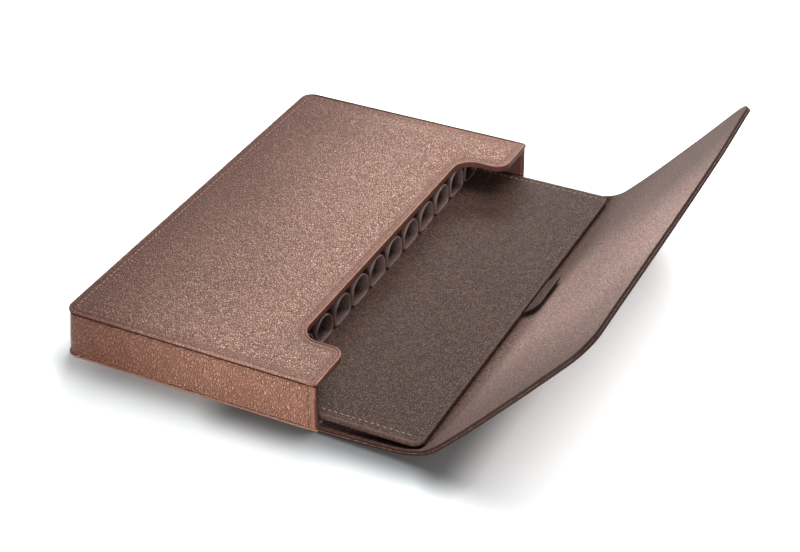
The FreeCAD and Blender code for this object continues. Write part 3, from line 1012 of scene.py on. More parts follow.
@dataclass
class PaddedTop:
    """The sleeve's top: leather drawn over felt, with a rolled bead along the walls."""

    notch_gap: float = 0.9
    rim: float = 0.5
    grid: float = 2.5
    merge_at: float = 0.98
    last_ring: float = 5.3
    bead: tuple[Span, ...] = (
        (0.0, -0.5), (0.06, -0.2), (0.28, 0.02), (0.62, 0.09), (0.98, 0.0), (1.25, -0.17), (1.5, -0.2),
        (1.85, -0.1), (2.4, -0.02), (3.0, 0.0), (3.4, -0.05), (3.8, -0.11), (4.2, -0.05), (4.7, 0.0),
    )
    notch_dip: tuple[Span, ...] = (
        (0.0, -0.22), (0.28, -0.08), (0.62, -0.02), (1.25, 0.0), (1.5, -0.02), (1.85, -0.07), (2.4, -0.1),
        (3.0, -0.02), (3.4, 0.0),
    )
    crown: float = 0.95
    crown_rise: Span = (5.5, 16.0)
    soft_rise: Span = (2.0, 12.0)
    soft_sink: float = 0.04
    broad_swell: Span = (34.0, 0.1)
    fine_swell: Span = (9.0, 0.025)
    rubbed: Span = (1.3, 0.6)
    seam_starts: Span = (1.15, 1.5)
    seam_ends: Span = (6.0, 4.4)
    notch_pressed: Span = (4.4, 2.6)
    welt_below: float = 0.45
    far_rim_shade: float = 1.25
    outline: Outline = field(default_factory=notch_outline)

    def _wall(self, p: Vector) -> float:
        """How far a place is from the walls' faces."""
        return self.outline.distance(p.x, p.y, WALL_RUNS)

    def height(self, x: float, y: float) -> float:
        """Height of the leather.

        Args:
            x: Place along the case.
            y: Place across the case.

        Returns:
            The height over the table.
        """
        wall = self.outline.distance(x, y, WALL_RUNS)
        notch = self.outline.distance(x, y, NOTCH_RUNS)
        edge = along_table(self.bead, wall) + along_table(self.notch_dip, notch - self.notch_gap)
        swell = self.crown * smooth_step(min(wall, notch), *self.crown_rise)
        soft = smooth_step(min(wall, notch), *self.soft_rise)
        drift = unevenness(Vector((x, y, 0.0)), *self.broad_swell)
        drift += unevenness(Vector((x, y, 5.0)), *self.fine_swell)
        return CASE.height + max(edge, -self.rim) + swell + drift * soft - self.soft_sink * soft

    def build(self) -> None:
        """Models the panel and hands it to the sleeve."""
        bench = Bench("padded_top")
        notched_plan(bench, CASE.panel_bottom, self.notch_gap)
        with bench.work():
            bench.all()
            bench.extrude(z=self.rim)
            bench.inset_rings([place for place, _ in self.bead[1:]] + [self.last_ring], self.merge_at)
            sides = ((Axis.ACROSS, -CASE.half_width, CASE.half_width), (Axis.ALONG, CASE.back, CASE.mouth))
            for axis, low, high in sides:
                bench.cut(axis, steps(low + self.grid / 2.0, self.grid, int((high - low) / self.grid)))
        top = CASE.panel_bottom + self.rim - NEAR
        bench.shape(lambda p: Vector((p.x, p.y, self.height(p.x, p.y))) if p.z > top else p)
        bench.mark("wear", lambda p: 0.4 * smooth_step(self._wall(p), *self.rubbed))
        bench.mark("press", self._press)
        # Painted shade, darkest at the closed end.
        bench.mark("back_shade", back_shade_amount)
        bench.dress(TOP_LEATHER, WELT_AND_PAINTED_SHADE)
        welt_top = CASE.height - self.welt_below
        # The rim's underside takes the near-black welt finish: the seam welt, with the shade under the overhang
        # painted in.
        bench.paint(WELT_AND_PAINTED_SHADE, lambda p, n: n.z < 0.3 and p.z < welt_top and self._wall(p) < 0.3)
        # Painted shade: the far rim's rounding is painted near-black, as it lies in shade.
        bench.paint(WELT_AND_PAINTED_SHADE, lambda p, n: p.y > CASE.half_width - self.far_rim_shade)
        piece = bench.finish(50.0)
        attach(piece, Body.SLEEVE.value)
        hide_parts("top_leather", "top_pad")

    def _press(self, p: Vector) -> float:
        """How far a place is pressed flat and darker, along the seams.

        Args:
            p: The place.

        Returns:
            1 in the middle of a seam's border and 0 away from it.
        """
        wall = self._wall(p)
        notch = self.outline.distance(p.x, p.y, NOTCH_RUNS) - self.notch_gap
        beside_wall = smooth_step(wall, *self.seam_starts) * smooth_step(wall, *self.seam_ends)
        return max(beside_wall, smooth_step(notch, *self.notch_pressed))


@dataclass
class NotchEdge:
    """Turned leather edge round the finger notch and along the mouth."""

    bottom: float = 21.2
    proud: float = 0.075
    thickness: float = 0.55
    depth: float = 1.0
    cut_at: float = 107.5
    over_wall: float = 0.05
    rows: tuple[float, ...] = (0.25, 0.9, 1.7)
    rub_rises: Span = (-0.2, 0.08)
    rub_fades: Span = (0.75, 0.4)
    merge_at: float = 1.05
    heights: tuple[Span, ...] = ((0.0, -0.45), (0.08, -0.16), (0.3, 0.04), (0.6, 0.12), (0.85, 0.06), (1.05, -0.2))
    outline: Outline = field(default_factory=notch_outline)

    def _inwards(self, p: Vector) -> float:
        """How far a place is from the edge of the notch and the mouth."""
        return self.outline.distance(p.x, p.y, NOTCH_RUNS)

    def _form(self, p: Vector) -> Vector:
        """Rounds the edge over and keeps it above the walls.

        Args:
            p: A place on the straight edge.

        Returns:
            The new place.
        """
        z = p.z
        if z > CASE.height + self.heights[0][1] - MATCH:
            z = CASE.height + self.proud + along_table(self.heights, self._inwards(p))
        if abs(p.y) > CASE.wall_inside - 0.3:
            low = CASE.wall_top + self.over_wall
            z = low + (z - self.bottom) * (CASE.height - low) / (CASE.height - self.bottom)
        return Vector((p.x, p.y, z))

    def build(self) -> None:
        """Models the edge and hands it to the sleeve."""
        bench = Bench("notch_edge")
        notched_plan(bench, self.bottom, 0.0)
        with bench.work():
            bench.all()
            bench.extrude(z=CASE.height + self.heights[0][1] - self.bottom)
            bench.inset_rings([place for place, _ in self.heights[1:]], self.merge_at)
            bench.cut(Axis.ACROSS, [-self.cut_at, self.cut_at] + steps(-104.0, 4.0, 53))
            bench.cut(Axis.UP, [self.bottom + row for row in self.rows])
            bench.remove(Element.FACES, lambda p, n: abs(p.y) > self.cut_at or self._inwards(p) > self.depth, "FACE")
        bench.shape(self._form)
        bench.thicken(self.thickness)
        bench.mark(
            "wear", lambda p: 0.75 * smooth_step(p.z - CASE.height, *self.rub_rises)
            * smooth_step(self._inwards(p), *self.rub_fades)
        )
        bench.dress(NOTCH_LEATHER_AND_SHADE)
        piece = bench.finish(60.0)
        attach(piece, Body.SLEEVE.value)
        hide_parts("notch_binding")


@dataclass
class WallLeather:
    """Leather of the walls, turned round their front ends into the sleeve."""

    set_back: float = 0.4
    thickness: float = 0.9
    turned: float = 2.9
    front_end: float = 12.0
    near_inside: float = 106.35
    far_inside: float = 106.0
    back_lean: float = 2.3
    side_lean: float = 0.55
    swell: Span = (22.0, 0.05)
    swell_starts: Span = (4.0, 10.0)
    rows: tuple[float, ...] = (7.5, 9.8, 14.5, 17.0)
    turns: tuple[Span, ...] = (
        (0.4, 0.03), (0.14, 0.15), (0.04, 0.6), (0.0, 0.8), (-0.04, 0.5), (-0.3, 0.3), (-0.65, 0.26), (-9.0, 0.0),
    )
    profile: tuple[Span, ...] = (
        (1.0, -0.6), (1.2, -0.3), (1.6, -0.08), (2.3, 0.0), (5.0, 0.06), (12.0, 0.16), (19.0, 0.06),
        (20.9, 0.0), (21.4, -0.08), (21.85, -0.3), (22.15, -0.58), (22.4, -0.9),
    )
    band: tuple[Span, ...] = (
        (0.0, 0.14), (2.2, 0.16), (2.6, 0.12), (2.9, -0.06), (3.1, -0.12), (3.4, -0.04), (4.0, 0.0), (9.0, 0.0),
    )

    def _plan(self, bench: Bench) -> None:
        """Draws the strip's line in plan: three walls and their turned front ends.

        Args:
            bench: The empty bench.
        """
        back, front, side = CASE.back + self.set_back, CASE.mouth - 1.0, CASE.wall_face
        bench.plane((back, front), (-side, side), CASE.base_top)
        with bench.work():
            bench.remove(Element.FACES, lambda p, n: True, "ONLY_FACE")
            bench.remove(Element.EDGES, lambda p, d: p.x > front - NEAR and abs(p.y) < 1.0, "EDGE")
            for sign in SIDES:
                bench.round_corner(back, sign * side, CASE.corner_radius - self.set_back, ARC)
                x, y = front, side
                for along, across in self.turns:
                    bench.pick(
                        Element.POINTS,
                        lambda p, n: abs(p.x - x) < MATCH / 2.0 and abs(p.y - sign * y) < MATCH / 2.0,
                    )
                    bench.extrude(x=along, y=-sign * across)
                    x += along
                    y -= across

    def _form(self, p: Vector) -> Vector:
        """Swells the wall a little, rounds its foot and top and sinks the groove.

        Args:
            p: A place on the straight wall.

        Returns:
            The new place.
        """
        if abs(p.y) < CASE.wall_inside + 1.3 and p.x > CASE.back + 8.0:
            return p
        corner = Vector((CASE.back + CASE.corner_radius, CASE.half_width - CASE.corner_radius))
        step = along_table(self.profile, p.z)
        step += along_table(self.band, CASE.mouth - p.x)
        step += unevenness(p, *self.swell) * smooth_step(CASE.mouth - p.x, *self.swell_starts)
        if p.x < corner.x and abs(p.y) > corner.y:
            out = Vector((p.x - corner.x, abs(p.y) - corner.y, 0.0)).normalized()
            out.y = math.copysign(out.y, p.y)
        elif p.x < corner.x:
            out = Vector((-1.0, 0.0, 0.0))
        else:
            share = smooth_step(p.x, CASE.mouth - 0.2, CASE.mouth - 0.9)
            out = Vector((0.0, math.copysign(share, p.y), 0.0))
        lean = self.back_lean * out.x * out.x + self.side_lean * out.y * out.y
        return p + out * (step + lean * self.fall(p.z))

    def build(self) -> None:
        """Models the walls and hands them to the sleeve."""
        bench = Bench("sleeve_walls")
        self._plan(bench)
        with bench.work():
            bench.all(Element.EDGES)
            bench.extrude(z=CASE.wall_top - CASE.base_top)
            bench.cut(Axis.UP, [z for z, _ in self.profile[1:-1]] + list(self.rows))
            columns = steps(CASE.mouth - 4.0, -3.0, 39)
            bench.cut(Axis.ALONG, columns + [CASE.mouth - place for place, _ in self.band[1:]])
            bench.cut(Axis.ACROSS, steps(-100.0, 5.0, 41))
        bench.face_out(Vector((0.0, 0.0, 12.0)))
        bench.shape(self._form)
        bench.thicken(self.thickness)
        bench.mark("wear", self._wear)
        # Painted shade, darkest at the closed end.
        bench.mark("back_shade", back_shade_amount)
        front = CASE.mouth - self.front_end
        bench.dress(WALL_LEATHER, TURNED_EDGE, NOTCH_LEATHER_AND_SHADE, WELT_AND_PAINTED_SHADE)
        bench.paint(TURNED_EDGE, lambda p, n: p.x > CASE.mouth - self.turned)
        # Painted shade: the front end faces and the inside behind them take the dark notch leather, and the near
        # wall's inside takes the near-black welt finish.
        bench.paint(NOTCH_LEATHER_AND_SHADE, lambda p, n: p.x > front and (n.x > 0.55 or abs(p.y) < self.far_inside))
        bench.paint(WELT_AND_PAINTED_SHADE, lambda p, n: p.x > front and -self.near_inside < p.y < 0.0)
        piece = bench.finish(55.0)
        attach(piece, Body.SLEEVE.value)
        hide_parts("wall_leather")

    @staticmethod
    def fall(z: float) -> float:
        """How far down the wall a height is, from 0 at its top to 1 at its foot."""
        return (CASE.wall_top - z) / (CASE.wall_top - CASE.base_top)

    @staticmethod
    def _wear(p: Vector) -> float:
        """Rubbed along the foot and at the closed end's corners."""
        corner = smooth_step(p.x, CASE.back + 4.5, CASE.back + 1.2) * smooth_step(abs(p.y), 102.0, 106.0)
        return max(0.5 * smooth_step(p.z, 1.9, 1.0), 0.35 * corner)


@dataclass
class FloorLip:
    """Lining turned over the front end of the sleeve's floor."""

    x: Span = (60.2, 61.75)
    half_width: float = 104.8
    z: Span = (2.3, 4.06)
    rounding: float = 0.6

    def build(self) -> None:
        """Models the lip and hands it to the sleeve."""
        bench = Bench("floor_lip")
        bench.plane(self.x, (-self.half_width, self.half_width), self.z[0])
        with bench.work():
            bench.all()
            bench.extrude(z=self.z[1] - self.z[0])
            bench.break_edges(lambda p, d: abs(d.y) > SQUARE and p.x > self.x[1] - NEAR, self.rounding, 4)
            bench.cut(Axis.ACROSS, steps(-96.0, 12.0, 17))
        bench.dress(LINING)
        piece = bench.finish(50.0)
        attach(piece, Body.SLEEVE.value)


@dataclass(frozen=True)
class FoldLine:
    """Middle line of the flap at rest: flat, a soft fold, then straight and half open."""

    fold_x: float = 109.25
    middle: float = 1.2
    radius: float = 24.0
    angle: float = math.radians(49.5)
    front: float = 25.4
    cover: float = 76.6

    @property
    def reach(self) -> float:
        """Length from the fold line to the point where the soft fold ends."""
        return self.radius * math.tan(self.angle / 2.0)

    @property
    def start(self) -> float:
        """Where the flat part ends."""
        return self.fold_x - self.reach

    @property
    def bend(self) -> float:
        """Length of the soft fold."""
        return self.radius * self.angle

    def after(self, length: float) -> float:
        """Length along the sheet of a place given by its length from the fold line."""
        return self.start + self.bend + length - self.reach

    def place(self, p: Vector) -> Vector:
        """Lifts a place on the flat sheet to where it is at rest.

        Args:
            p: Length along the sheet, place across it and height over its middle.

        Returns:
            The place in the case's frame.
        """
        along = p.x - self.start
        if along <= 0.0:
            return Vector((p.x, p.y, self.middle + p.z))
        turn = min(along / self.radius, self.angle)
        x = self.start + (self.radius - p.z) * math.sin(turn)
        z = self.middle + self.radius - (self.radius - p.z) * math.cos(turn)
        rest = max(along - self.bend, 0.0)
        return Vector((x + rest * math.cos(turn), p.y, z + rest * math.sin(turn)))


FOLD = FoldLine()


@dataclass
class Flap:
    """The flap's two sheets with their painted edges, each in a lower and an upper piece."""

    half_thickness: float = 1.2
    outer: float = 1.15
    parting: float = 0.06
    set_back: float = 0.12
    joint: float = 12.7
    corner_radius: float = 12.0
    soft_shoulder: float = 8.0
    back_spread: float = 2.2
    side_spread: float = 0.4
    rim_width: float = 0.24
    row_pitch: float = 4.0
    rim_rows: tuple[float, ...] = (66.0, 78.0, 90.0, 100.0, 103.0, 104.8, 105.4, 106.0, 106.6, 107.1)
    mouth_rows: tuple[float, ...] = (61.4, 62.0, 62.8, 63.6)
    rise: tuple[Span, ...] = (
        (62.0, 0.0), (73.0, 0.35), (84.0, 0.85), (94.0, 1.45), (99.0, 1.95), (105.0, 2.3), (112.7, 1.9),
        (118.5, 1.55), (124.5, 1.15), (131.0, 0.8), (138.0, 0.55), (150.0, 0.3), (172.0, 0.0),
    )
    far_draw: float = 2.8
    tip_draw: float = 3.2
    draw_starts: Span = (130.0, 210.0)
    rim_spreads: Span = (107.5, 121.0)
    rim_low: Span = (104.8, 106.9)
    rim_spread: Span = (50.0, 5.0)
    wrinkles: tuple[tuple[float, float, float, float], ...] = (
        (125.0, 0.05, 4.0, 0.3), (139.0, -0.07, 5.5, 0.28), (161.0, 0.05, 8.0, 0.2),
    )
    wrinkle_drift: Span = (50.0, 2.5)
    wrinkle_edge: Span = (4.0, 40.0)
    light_centre: float = -23.0
    light_half: float = 66.0
    light_drift: Span = (45.0, 22.0)
    light_starts: Span = (104.0, 130.0)

    def sheet(self, name: str, along: Span, layer: Span, corners: Span, inset: float) -> Bench:
        """Cuts one sheet flat, with rounded corners and edges.

        Args:
            name: The piece's name.
            along: Start and end along the sheet.
            layer: Lowest and highest face over the sheet's middle.
            corners: Radius at the start and at the end; 0 leaves that end square.
            inset: How far the edges stay back from the case's sides.

        Returns:
            The bench with the flat sheet.
        """
        side = CASE.half_width - inset
        first, last = along
        butted = [place for place, radius in zip(along, corners) if radius <= 0.0]
        bench = Bench(name)
        bench.plane(along, (-side, side), layer[0])
        with bench.work():
            for place, radius in zip(along, corners):
                if radius > 0.0:
                    bench.round_corner(place, -side, radius, ARC)
                    bench.round_corner(place, side, radius, ARC)
            bench.all()
            bench.extrude(z=layer[1] - layer[0])
            bench.break_edges(
                lambda p, d: abs(d.z) < 0.5 and all(abs(p.x - place) > MATCH for place in butted),
                self.rim_width * min(1.0, layer[1] - layer[0]), 2,
            )
            rows = steps(first + self.row_pitch, self.row_pitch, int((last - first) / self.row_pitch) - 1)
            rows += steps(FOLD.start, 1.4, 18) + steps(FOLD.after(FOLD.front) - 9.0, 1.5, 13)
            rows += self.mouth_rows
            bench.cut(Axis.ALONG, [row for row in sorted(rows) if first + 0.8 < row < last - 0.8])
            bench.cut(Axis.ACROSS, steps(-96.0, 12.0, 17))
            for sign in SIDES:
                bench.cut(Axis.ACROSS, [sign * y for y in self.rim_rows])
        return bench

    def build(self) -> None:
        """Models the four sheets and lays them across the folds."""
        middle = FOLD.after(self.joint)
        end = FOLD.after(FOLD.front + FOLD.cover)
        split = self.outer - self.half_thickness
        outer = (-self.half_thickness, split)
        inner = (split + self.parting, self.half_thickness)
        radius = self.corner_radius
        pieces: list[Piece] = []
        plans = (
            ("flap_base_outer", (CASE.back, middle), outer, (CASE.corner_radius, 0.0), 0.0, FLAP_LEATHER),
            ("flap_base_inner", (CASE.mouth + 0.1, middle), inner, (0.0, 0.0), self.set_back, LINING),
            ("flap_cover_outer", (middle, end), outer, (0.0, radius), 0.0, FLAP_LEATHER),
            ("flap_cover_inner", (middle, end), inner, (0.0, radius - 0.1), self.set_back, LINING),
        )
        for name, along, layer, corners, inset, face in plans:
            bench = self.sheet(name, along, layer, corners, inset)
            if name == "flap_cover_inner":
                bench.shape(lambda p: Vector((p.x - self.set_back * smooth_step(p.x, end - 8.0, end), p.y, p.z)))
            bench.dress(face, RAW_EDGE, FLAP_EDGE_HIGHLIGHT, CUT_EDGE)
            bench.paint(RAW_EDGE, lambda p, n: abs(n.z) < SQUARE)
            if face is FLAP_LEATHER:
                # Painted highlight: the upward-facing bevel of the outer sheet's edge is painted lighter, as a thin
                # light line between the dark edges.
                bench.paint(FLAP_EDGE_HIGHLIGHT, lambda p, n: 0.1 < n.z < SQUARE and p.z > split - 0.5)
                bench.paint(CUT_EDGE, lambda p, n: abs(n.z) < SQUARE and p.x < CASE.mouth - 1.0)
            bench.mark("wear", lambda p: 0.4 * smooth_step(CASE.half_width - abs(p.y), 1.0, 0.2))
            # Painted light across the lining's middle, carried by the 'nap' mark.
            bench.mark("nap", self._painted_light)
            if name == "flap_base_outer":
                bench.shape(self._fit_under_sleeve)
            if face is LINING:
                bench.shape(self._wrinkle)
            bench.shape(self._settle)
            bench.shape(FOLD.place)
            pieces.append(bench.finish(40.0))
        self._join(pieces)

    def _painted_light(self, p: Vector) -> float:
        """How much light is painted on the lining through its 'nap' mark: most across the flap's middle."""
        off = (p.y - self.light_centre + unevenness(p, *self.light_drift)) / self.light_half
        return math.exp(-off * off) * smooth_step(p.x, *self.light_starts)

    def _wrinkle(self, p: Vector) -> Vector:
        """Raises long shallow wrinkles in the lining: each has a place, a slant, a width and a height.

        Args:
            p: A place on the flat sheet.

        Returns:
            The new place.
        """
        rise = 0.0
        for place, slant, width, height in self.wrinkles:
            off = (p.x - place - slant * p.y + unevenness(p, *self.wrinkle_drift)) / width
            rise += height * math.exp(-off * off)
        upper = smooth_step(p.z, 0.5, self.half_thickness)
        inside = smooth_step(CASE.half_width - abs(p.y), *self.wrinkle_edge)
        return p + UPWARDS * (rise * upper * inside)

    def _settle(self, p: Vector) -> Vector:
        """Lifts the rims off the table towards the fold and draws the far corner in.

        Args:
            p: A place on the flat sheet.

        Returns:
            The new place.
        """
        past = smooth_step(p.x, *self.rim_spreads)
        low, high = (y - spread * past for y, spread in zip(self.rim_low, self.rim_spread))
        lift = along_table(self.rise, p.x) * smooth_step(abs(p.y), low, high)
        draw = self.far_draw * smooth_step(p.y, -10.0, 108.0) + self.tip_draw * smooth_step(p.y, 45.0, 108.0)
        return Vector((p.x - draw * smooth_step(p.x, *self.draw_starts), p.y, p.z + lift))

    def _fit_under_sleeve(self, p: Vector) -> Vector:
        """Spreads the base a little past the walls and thins it where the sleeve stands.

        Args:
            p: A place on the flat sheet.

        Returns:
            The new place.
        """
        back = self.back_spread * smooth_step(p.x, -30.0, CASE.back)
        side = self.side_spread * smooth_step(p.x, CASE.mouth - 0.5, CASE.mouth - 6.0)
        x, y, z = p.x - back, p.y * (1.0 + side / CASE.half_width), p.z
        if z > -0.6:
            z -= (self.outer - CASE.base_top) * (1.0 - smooth_step(x, CASE.mouth - 0.1, CASE.mouth + 1.6))
        return Vector((x, y, z))

    def _join(self, pieces: Sequence[Piece]) -> None:
        """Bakes each sheet's place into its mesh and hides the frame's nodes that it stands in for.

        Args:
            pieces: The four sheets in order.
        """
        nodes = (
            ("base_leather", "tongue_board", "lower_fold_strip", "flap_front_leather"),
            ("tongue_lining", "flap_front_lining", "flap_front_board"),
            ("flap_cover_leather", "flap_cover_board", "upper_fold_strip"),
            ("flap_cover_lining",),
        )
        for i, piece in enumerate(pieces):
            if i < 2:
                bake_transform(piece)
            else:
                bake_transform(piece)
            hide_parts(*nodes[i])


@dataclass(frozen=True)
class Tray:
    """The sliding tray: leather drawn over a board, sewn round its edge."""

    x: Span = (-45.25, 106.75)
    half_width: float = 104.5
    z: Span = (4.4, 7.4)
    corner_radius: float = 4.0
    corner_segments: int = 10
    top_rounding: float = 0.7
    foot_rounding: float = 0.35
    seam: float = 3.4
    seam_depth: float = 0.1
    seam_groove: float = 3.1
    seam_half: float = 0.8
    swell: Span = (18.0, 0.06)
    rings: tuple[float, ...] = (1.6, 0.45, 0.35, 0.35, 0.45)

    def _form(self, p: Vector) -> Vector:
        """Sinks the seam and the top's unevenness.

        Args:
            p: A place on the flat top or the sides.

        Returns:
            The new place.
        """
        if p.z < self.z[1] - MATCH / 2.0:
            return p
        off = abs(self.outline(0.0).distance(p.x, p.y) - self.seam_groove) / self.seam_half
        return p + UPWARDS * (min(unevenness(p, *self.swell), 0.0) - self.seam_depth * max(1.0 - off, 0.0))

    def build(self) -> None:
        """Models the tray's leather and hands it to the tray."""
        bench = Bench("tray_skin")
        side = self.half_width
        bench.plane(self.x, (-side, side), self.z[0])
        with bench.work():
            for place in self.x:
                for sign in SIDES:
                    bench.round_corner(place, sign * side, self.corner_radius, self.corner_segments)
            bench.all()
            bench.extrude(z=self.z[1] - self.z[0])
            bench.break_edges(lambda p, d: p.z > self.z[1] - MATCH, self.top_rounding, 3)
            bench.break_edges(lambda p, d: p.z < self.z[0] + MATCH, self.foot_rounding, 2)
            bench.pick(Element.FACES, lambda p, n: n.z > 0.99 and p.z > self.z[1] - MATCH)
            for width in self.rings:
                bench.inset(width)
            bench.cut(Axis.ALONG, steps(self.x[0] + 6.0, 6.0, 25))
            bench.cut(Axis.ACROSS, steps(-100.0, 8.0, 26))
        outline = self.outline(0.0)
        bench.shape(self._form)
        bench.mark(
            "wear", lambda p: 0.5 * smooth_step(outline.distance(p.x, p.y), 0.8, 0.2) * smooth_step(p.z, 6.2, 7.2)
        )
        bench.dress(TRAY_LEATHER, LINING)
        bench.paint(LINING, lambda p, n: n.z < -SQUARE)
        piece = bench.finish(50.0)
        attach(piece, Body.TRAY.value)
        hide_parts("tray_leather", "tray_lining")

    @cache
    def outline(self, inset: float) -> Outline:
        """The tray's plan, inset by a distance."""
        side = self.half_width - inset
        radius = max(self.corner_radius - inset, 0.4)
        back, front = self.x[0] + inset, self.x[1] - inset
        return Outline([(back, -side, radius), (front, -side, radius), (front, side, radius), (back, side, radius)])


@dataclass
class PenLoops:
    """The row of leather loops: one is modelled, and each of the others is its own copy."""

    count: int = 12
    pitch: float = 16.9
    x: Span = (-7.75, 39.0)
    z: Span = (7.4, 20.6)
    half_width: float = 7.6
    sides: int = 44
    thickness: float = 0.8
    squareness: float = 0.42
    rim_width: float = 0.22
    lean: float = 0.35
    sag: float = 0.5
    skew: float = 0.05
    swell: Span = (12.0, 0.14)

    @property
    def centre(self) -> float:
        """Height of the middle of the round part."""
        return self.z[1] - self.half_width

    def _form(self, p: Vector) -> Vector:
        """Flattens the foot and lets the sides bulge over it.

        Args:
            p: A place on the round tube.

        Returns:
            The new place.
        """
        y, z = p.y / self.half_width, (p.z - self.centre) / self.half_width
        if z >= 0.0:
            return p
        size = math.hypot(y, z)
        y = math.copysign(abs(y / size) ** self.squareness, y)
        z = -(abs(z / size) ** self.squareness)
        return Vector((p.x, y * self.half_width, self.centre + z * (self.centre - self.z[0])))

    def _master(self) -> Bench:
        """Models one loop over the middle of the tray.

        Returns:
            The bench with the loop.
        """
        bench = Bench("pen_loop")
        bench.tube(self.x, self.centre, self.half_width, self.sides)
        with bench.work():
            bench.cut(Axis.ALONG, steps(self.x[0] + 2.5, 2.5, 17) + [self.x[1] - 0.6, self.x[0] + 0.6])
        bench.shape(self._form)
        bench.face_out(Vector((15.0, 0.0, self.centre)))
        bench.thicken(self.thickness)
        bench.round_rims(self.rim_width, 2, 60.0)
        bench.dress(LOOP_LEATHER, LOOP_RIM)
        bench.paint(LOOP_RIM, lambda p, n: abs(n.x) > 0.45)
        bench.mark("wear", lambda p: 0.75 * smooth_step(p.x, self.x[1] - 1.6, self.x[1] - 0.2))
        return bench

    def build(self) -> None:
        """Copies the loop along the row, each a little different, and hands them to the tray."""
        first = self._master().finish(50.0)
        chance = random.Random(31)
        for i in range(self.count):
            name = f"pen_loop_skin_{i + 1:02d}"
            piece = first.copy()
            piece.data = first.data.copy()
            piece.name = name
            piece.data.name = name
            bpy.context.scene.collection.objects.link(piece)
            self._settle(piece, (i - (self.count - 1) / 2.0) * self.pitch, chance)
            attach(piece, Body.TRAY.value)
            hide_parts(f"pen_loop_{i + 1:02d}")
            LOG.info("%s: set", name)
        bpy.data.objects.remove(first)

    def _settle(self, piece: Piece, across: float, chance: random.Random) -> None:
        """Moves a copy to its place, with its own lean and front edge.

        Args:
            piece: The copy.
            across: Its place across the tray.
            chance: Where its own draws come from.
        """
        lean = chance.uniform(-self.lean, self.lean)
        sag = chance.uniform(0.0, self.sag)
        skew = chance.uniform(-self.skew, self.skew)
        seed = chance.uniform(0.0, 90.0)
        back, front = self.x
        for vertex in piece.data.vertices:
            p = vertex.co / MM
            up = (p.z - self.z[0]) / (self.z[1] - self.z[0])
            slip = skew * p.y + 0.25 * noise.noise(Vector((seed, p.y * 0.25, p.z * 0.25)))
            x = min(p.x + slip * smooth_step(p.x, back, front) * up, front + 0.2)
            drop = sag * up * up * smooth_step(p.x, front - 14.0, front)
            wave = min(unevenness(Vector((p.x, p.y, seed)), *self.swell) * up, 0.0)
            vertex.co = Vector((x, p.y + across + lean * up * up, p.z - drop + wave)) * MM
        piece.data.update()


@dataclass
class PullTab:
    """The leather tab at the tray's front edge, leaning on the flap."""

    hinge: Span = (107.4, 5.9)
    length: float = 8.7
    width: float = 28.0
    centre: float = 12.5
    thickness: float = 0.95
    tip_radius: float = 4.5
    tip_segments: int = 12
    curl: float = 0.25
    angle: float = math.radians(40.0)

    def _lean(self, p: Vector) -> Vector:
        """Curls the tab a little and sets it at its hinge.

        Args:
            p: A place on the flat tab.

        Returns:
            The place in the case's frame.
        """
        share = p.x / self.length
        z = p.z + self.curl * share * share * math.cos((p.y - self.centre) / self.width * 2.8)
        c, s = math.cos(self.angle), math.sin(self.angle)
        return Vector((self.hinge[0] + p.x * c - z * s, p.y, self.hinge[1] + p.x * s + z * c))

    def build(self) -> None:
        """Models the tab and hands it to its own body."""
        near, far = self.centre - self.width / 2.0, self.centre + self.width / 2.0
        bench = Bench("pull_tab_skin")
        bench.plane((0.0, self.length), (near, far), -self.thickness / 2.0)
        with bench.work():
            for y in (near, far):
                bench.round_corner(self.length, y, self.tip_radius, self.tip_segments)
            bench.all()
            bench.extrude(z=self.thickness)
            bench.break_edges(lambda p, d: abs(d.z) < 0.5, 0.24, 2)
            bench.cut(Axis.ALONG, steps(self.length / 8.0, self.length / 8.0, 7))
            bench.cut(Axis.ACROSS, steps(near + 2.0, 2.0, 13))
        bench.dress(TRAY_LEATHER, RAW_EDGE)
        bench.paint(RAW_EDGE, lambda p, n: abs(n.z) < SQUARE)
        bench.mark("wear", lambda p: 0.5 * smooth_step(p.x, self.length - 1.5, self.length))
        bench.shape(self._lean)
        piece = bench.finish(45.0)
        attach(piece, Body.PULL_TAB.value)
        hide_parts("pull_tab")


@dataclass(frozen=True)
class Stitch:
    """One stitch to lay: its place, its heading and the way it faces."""

    place: Vector
    heading: Vector
    out: Vector = UPWARDS


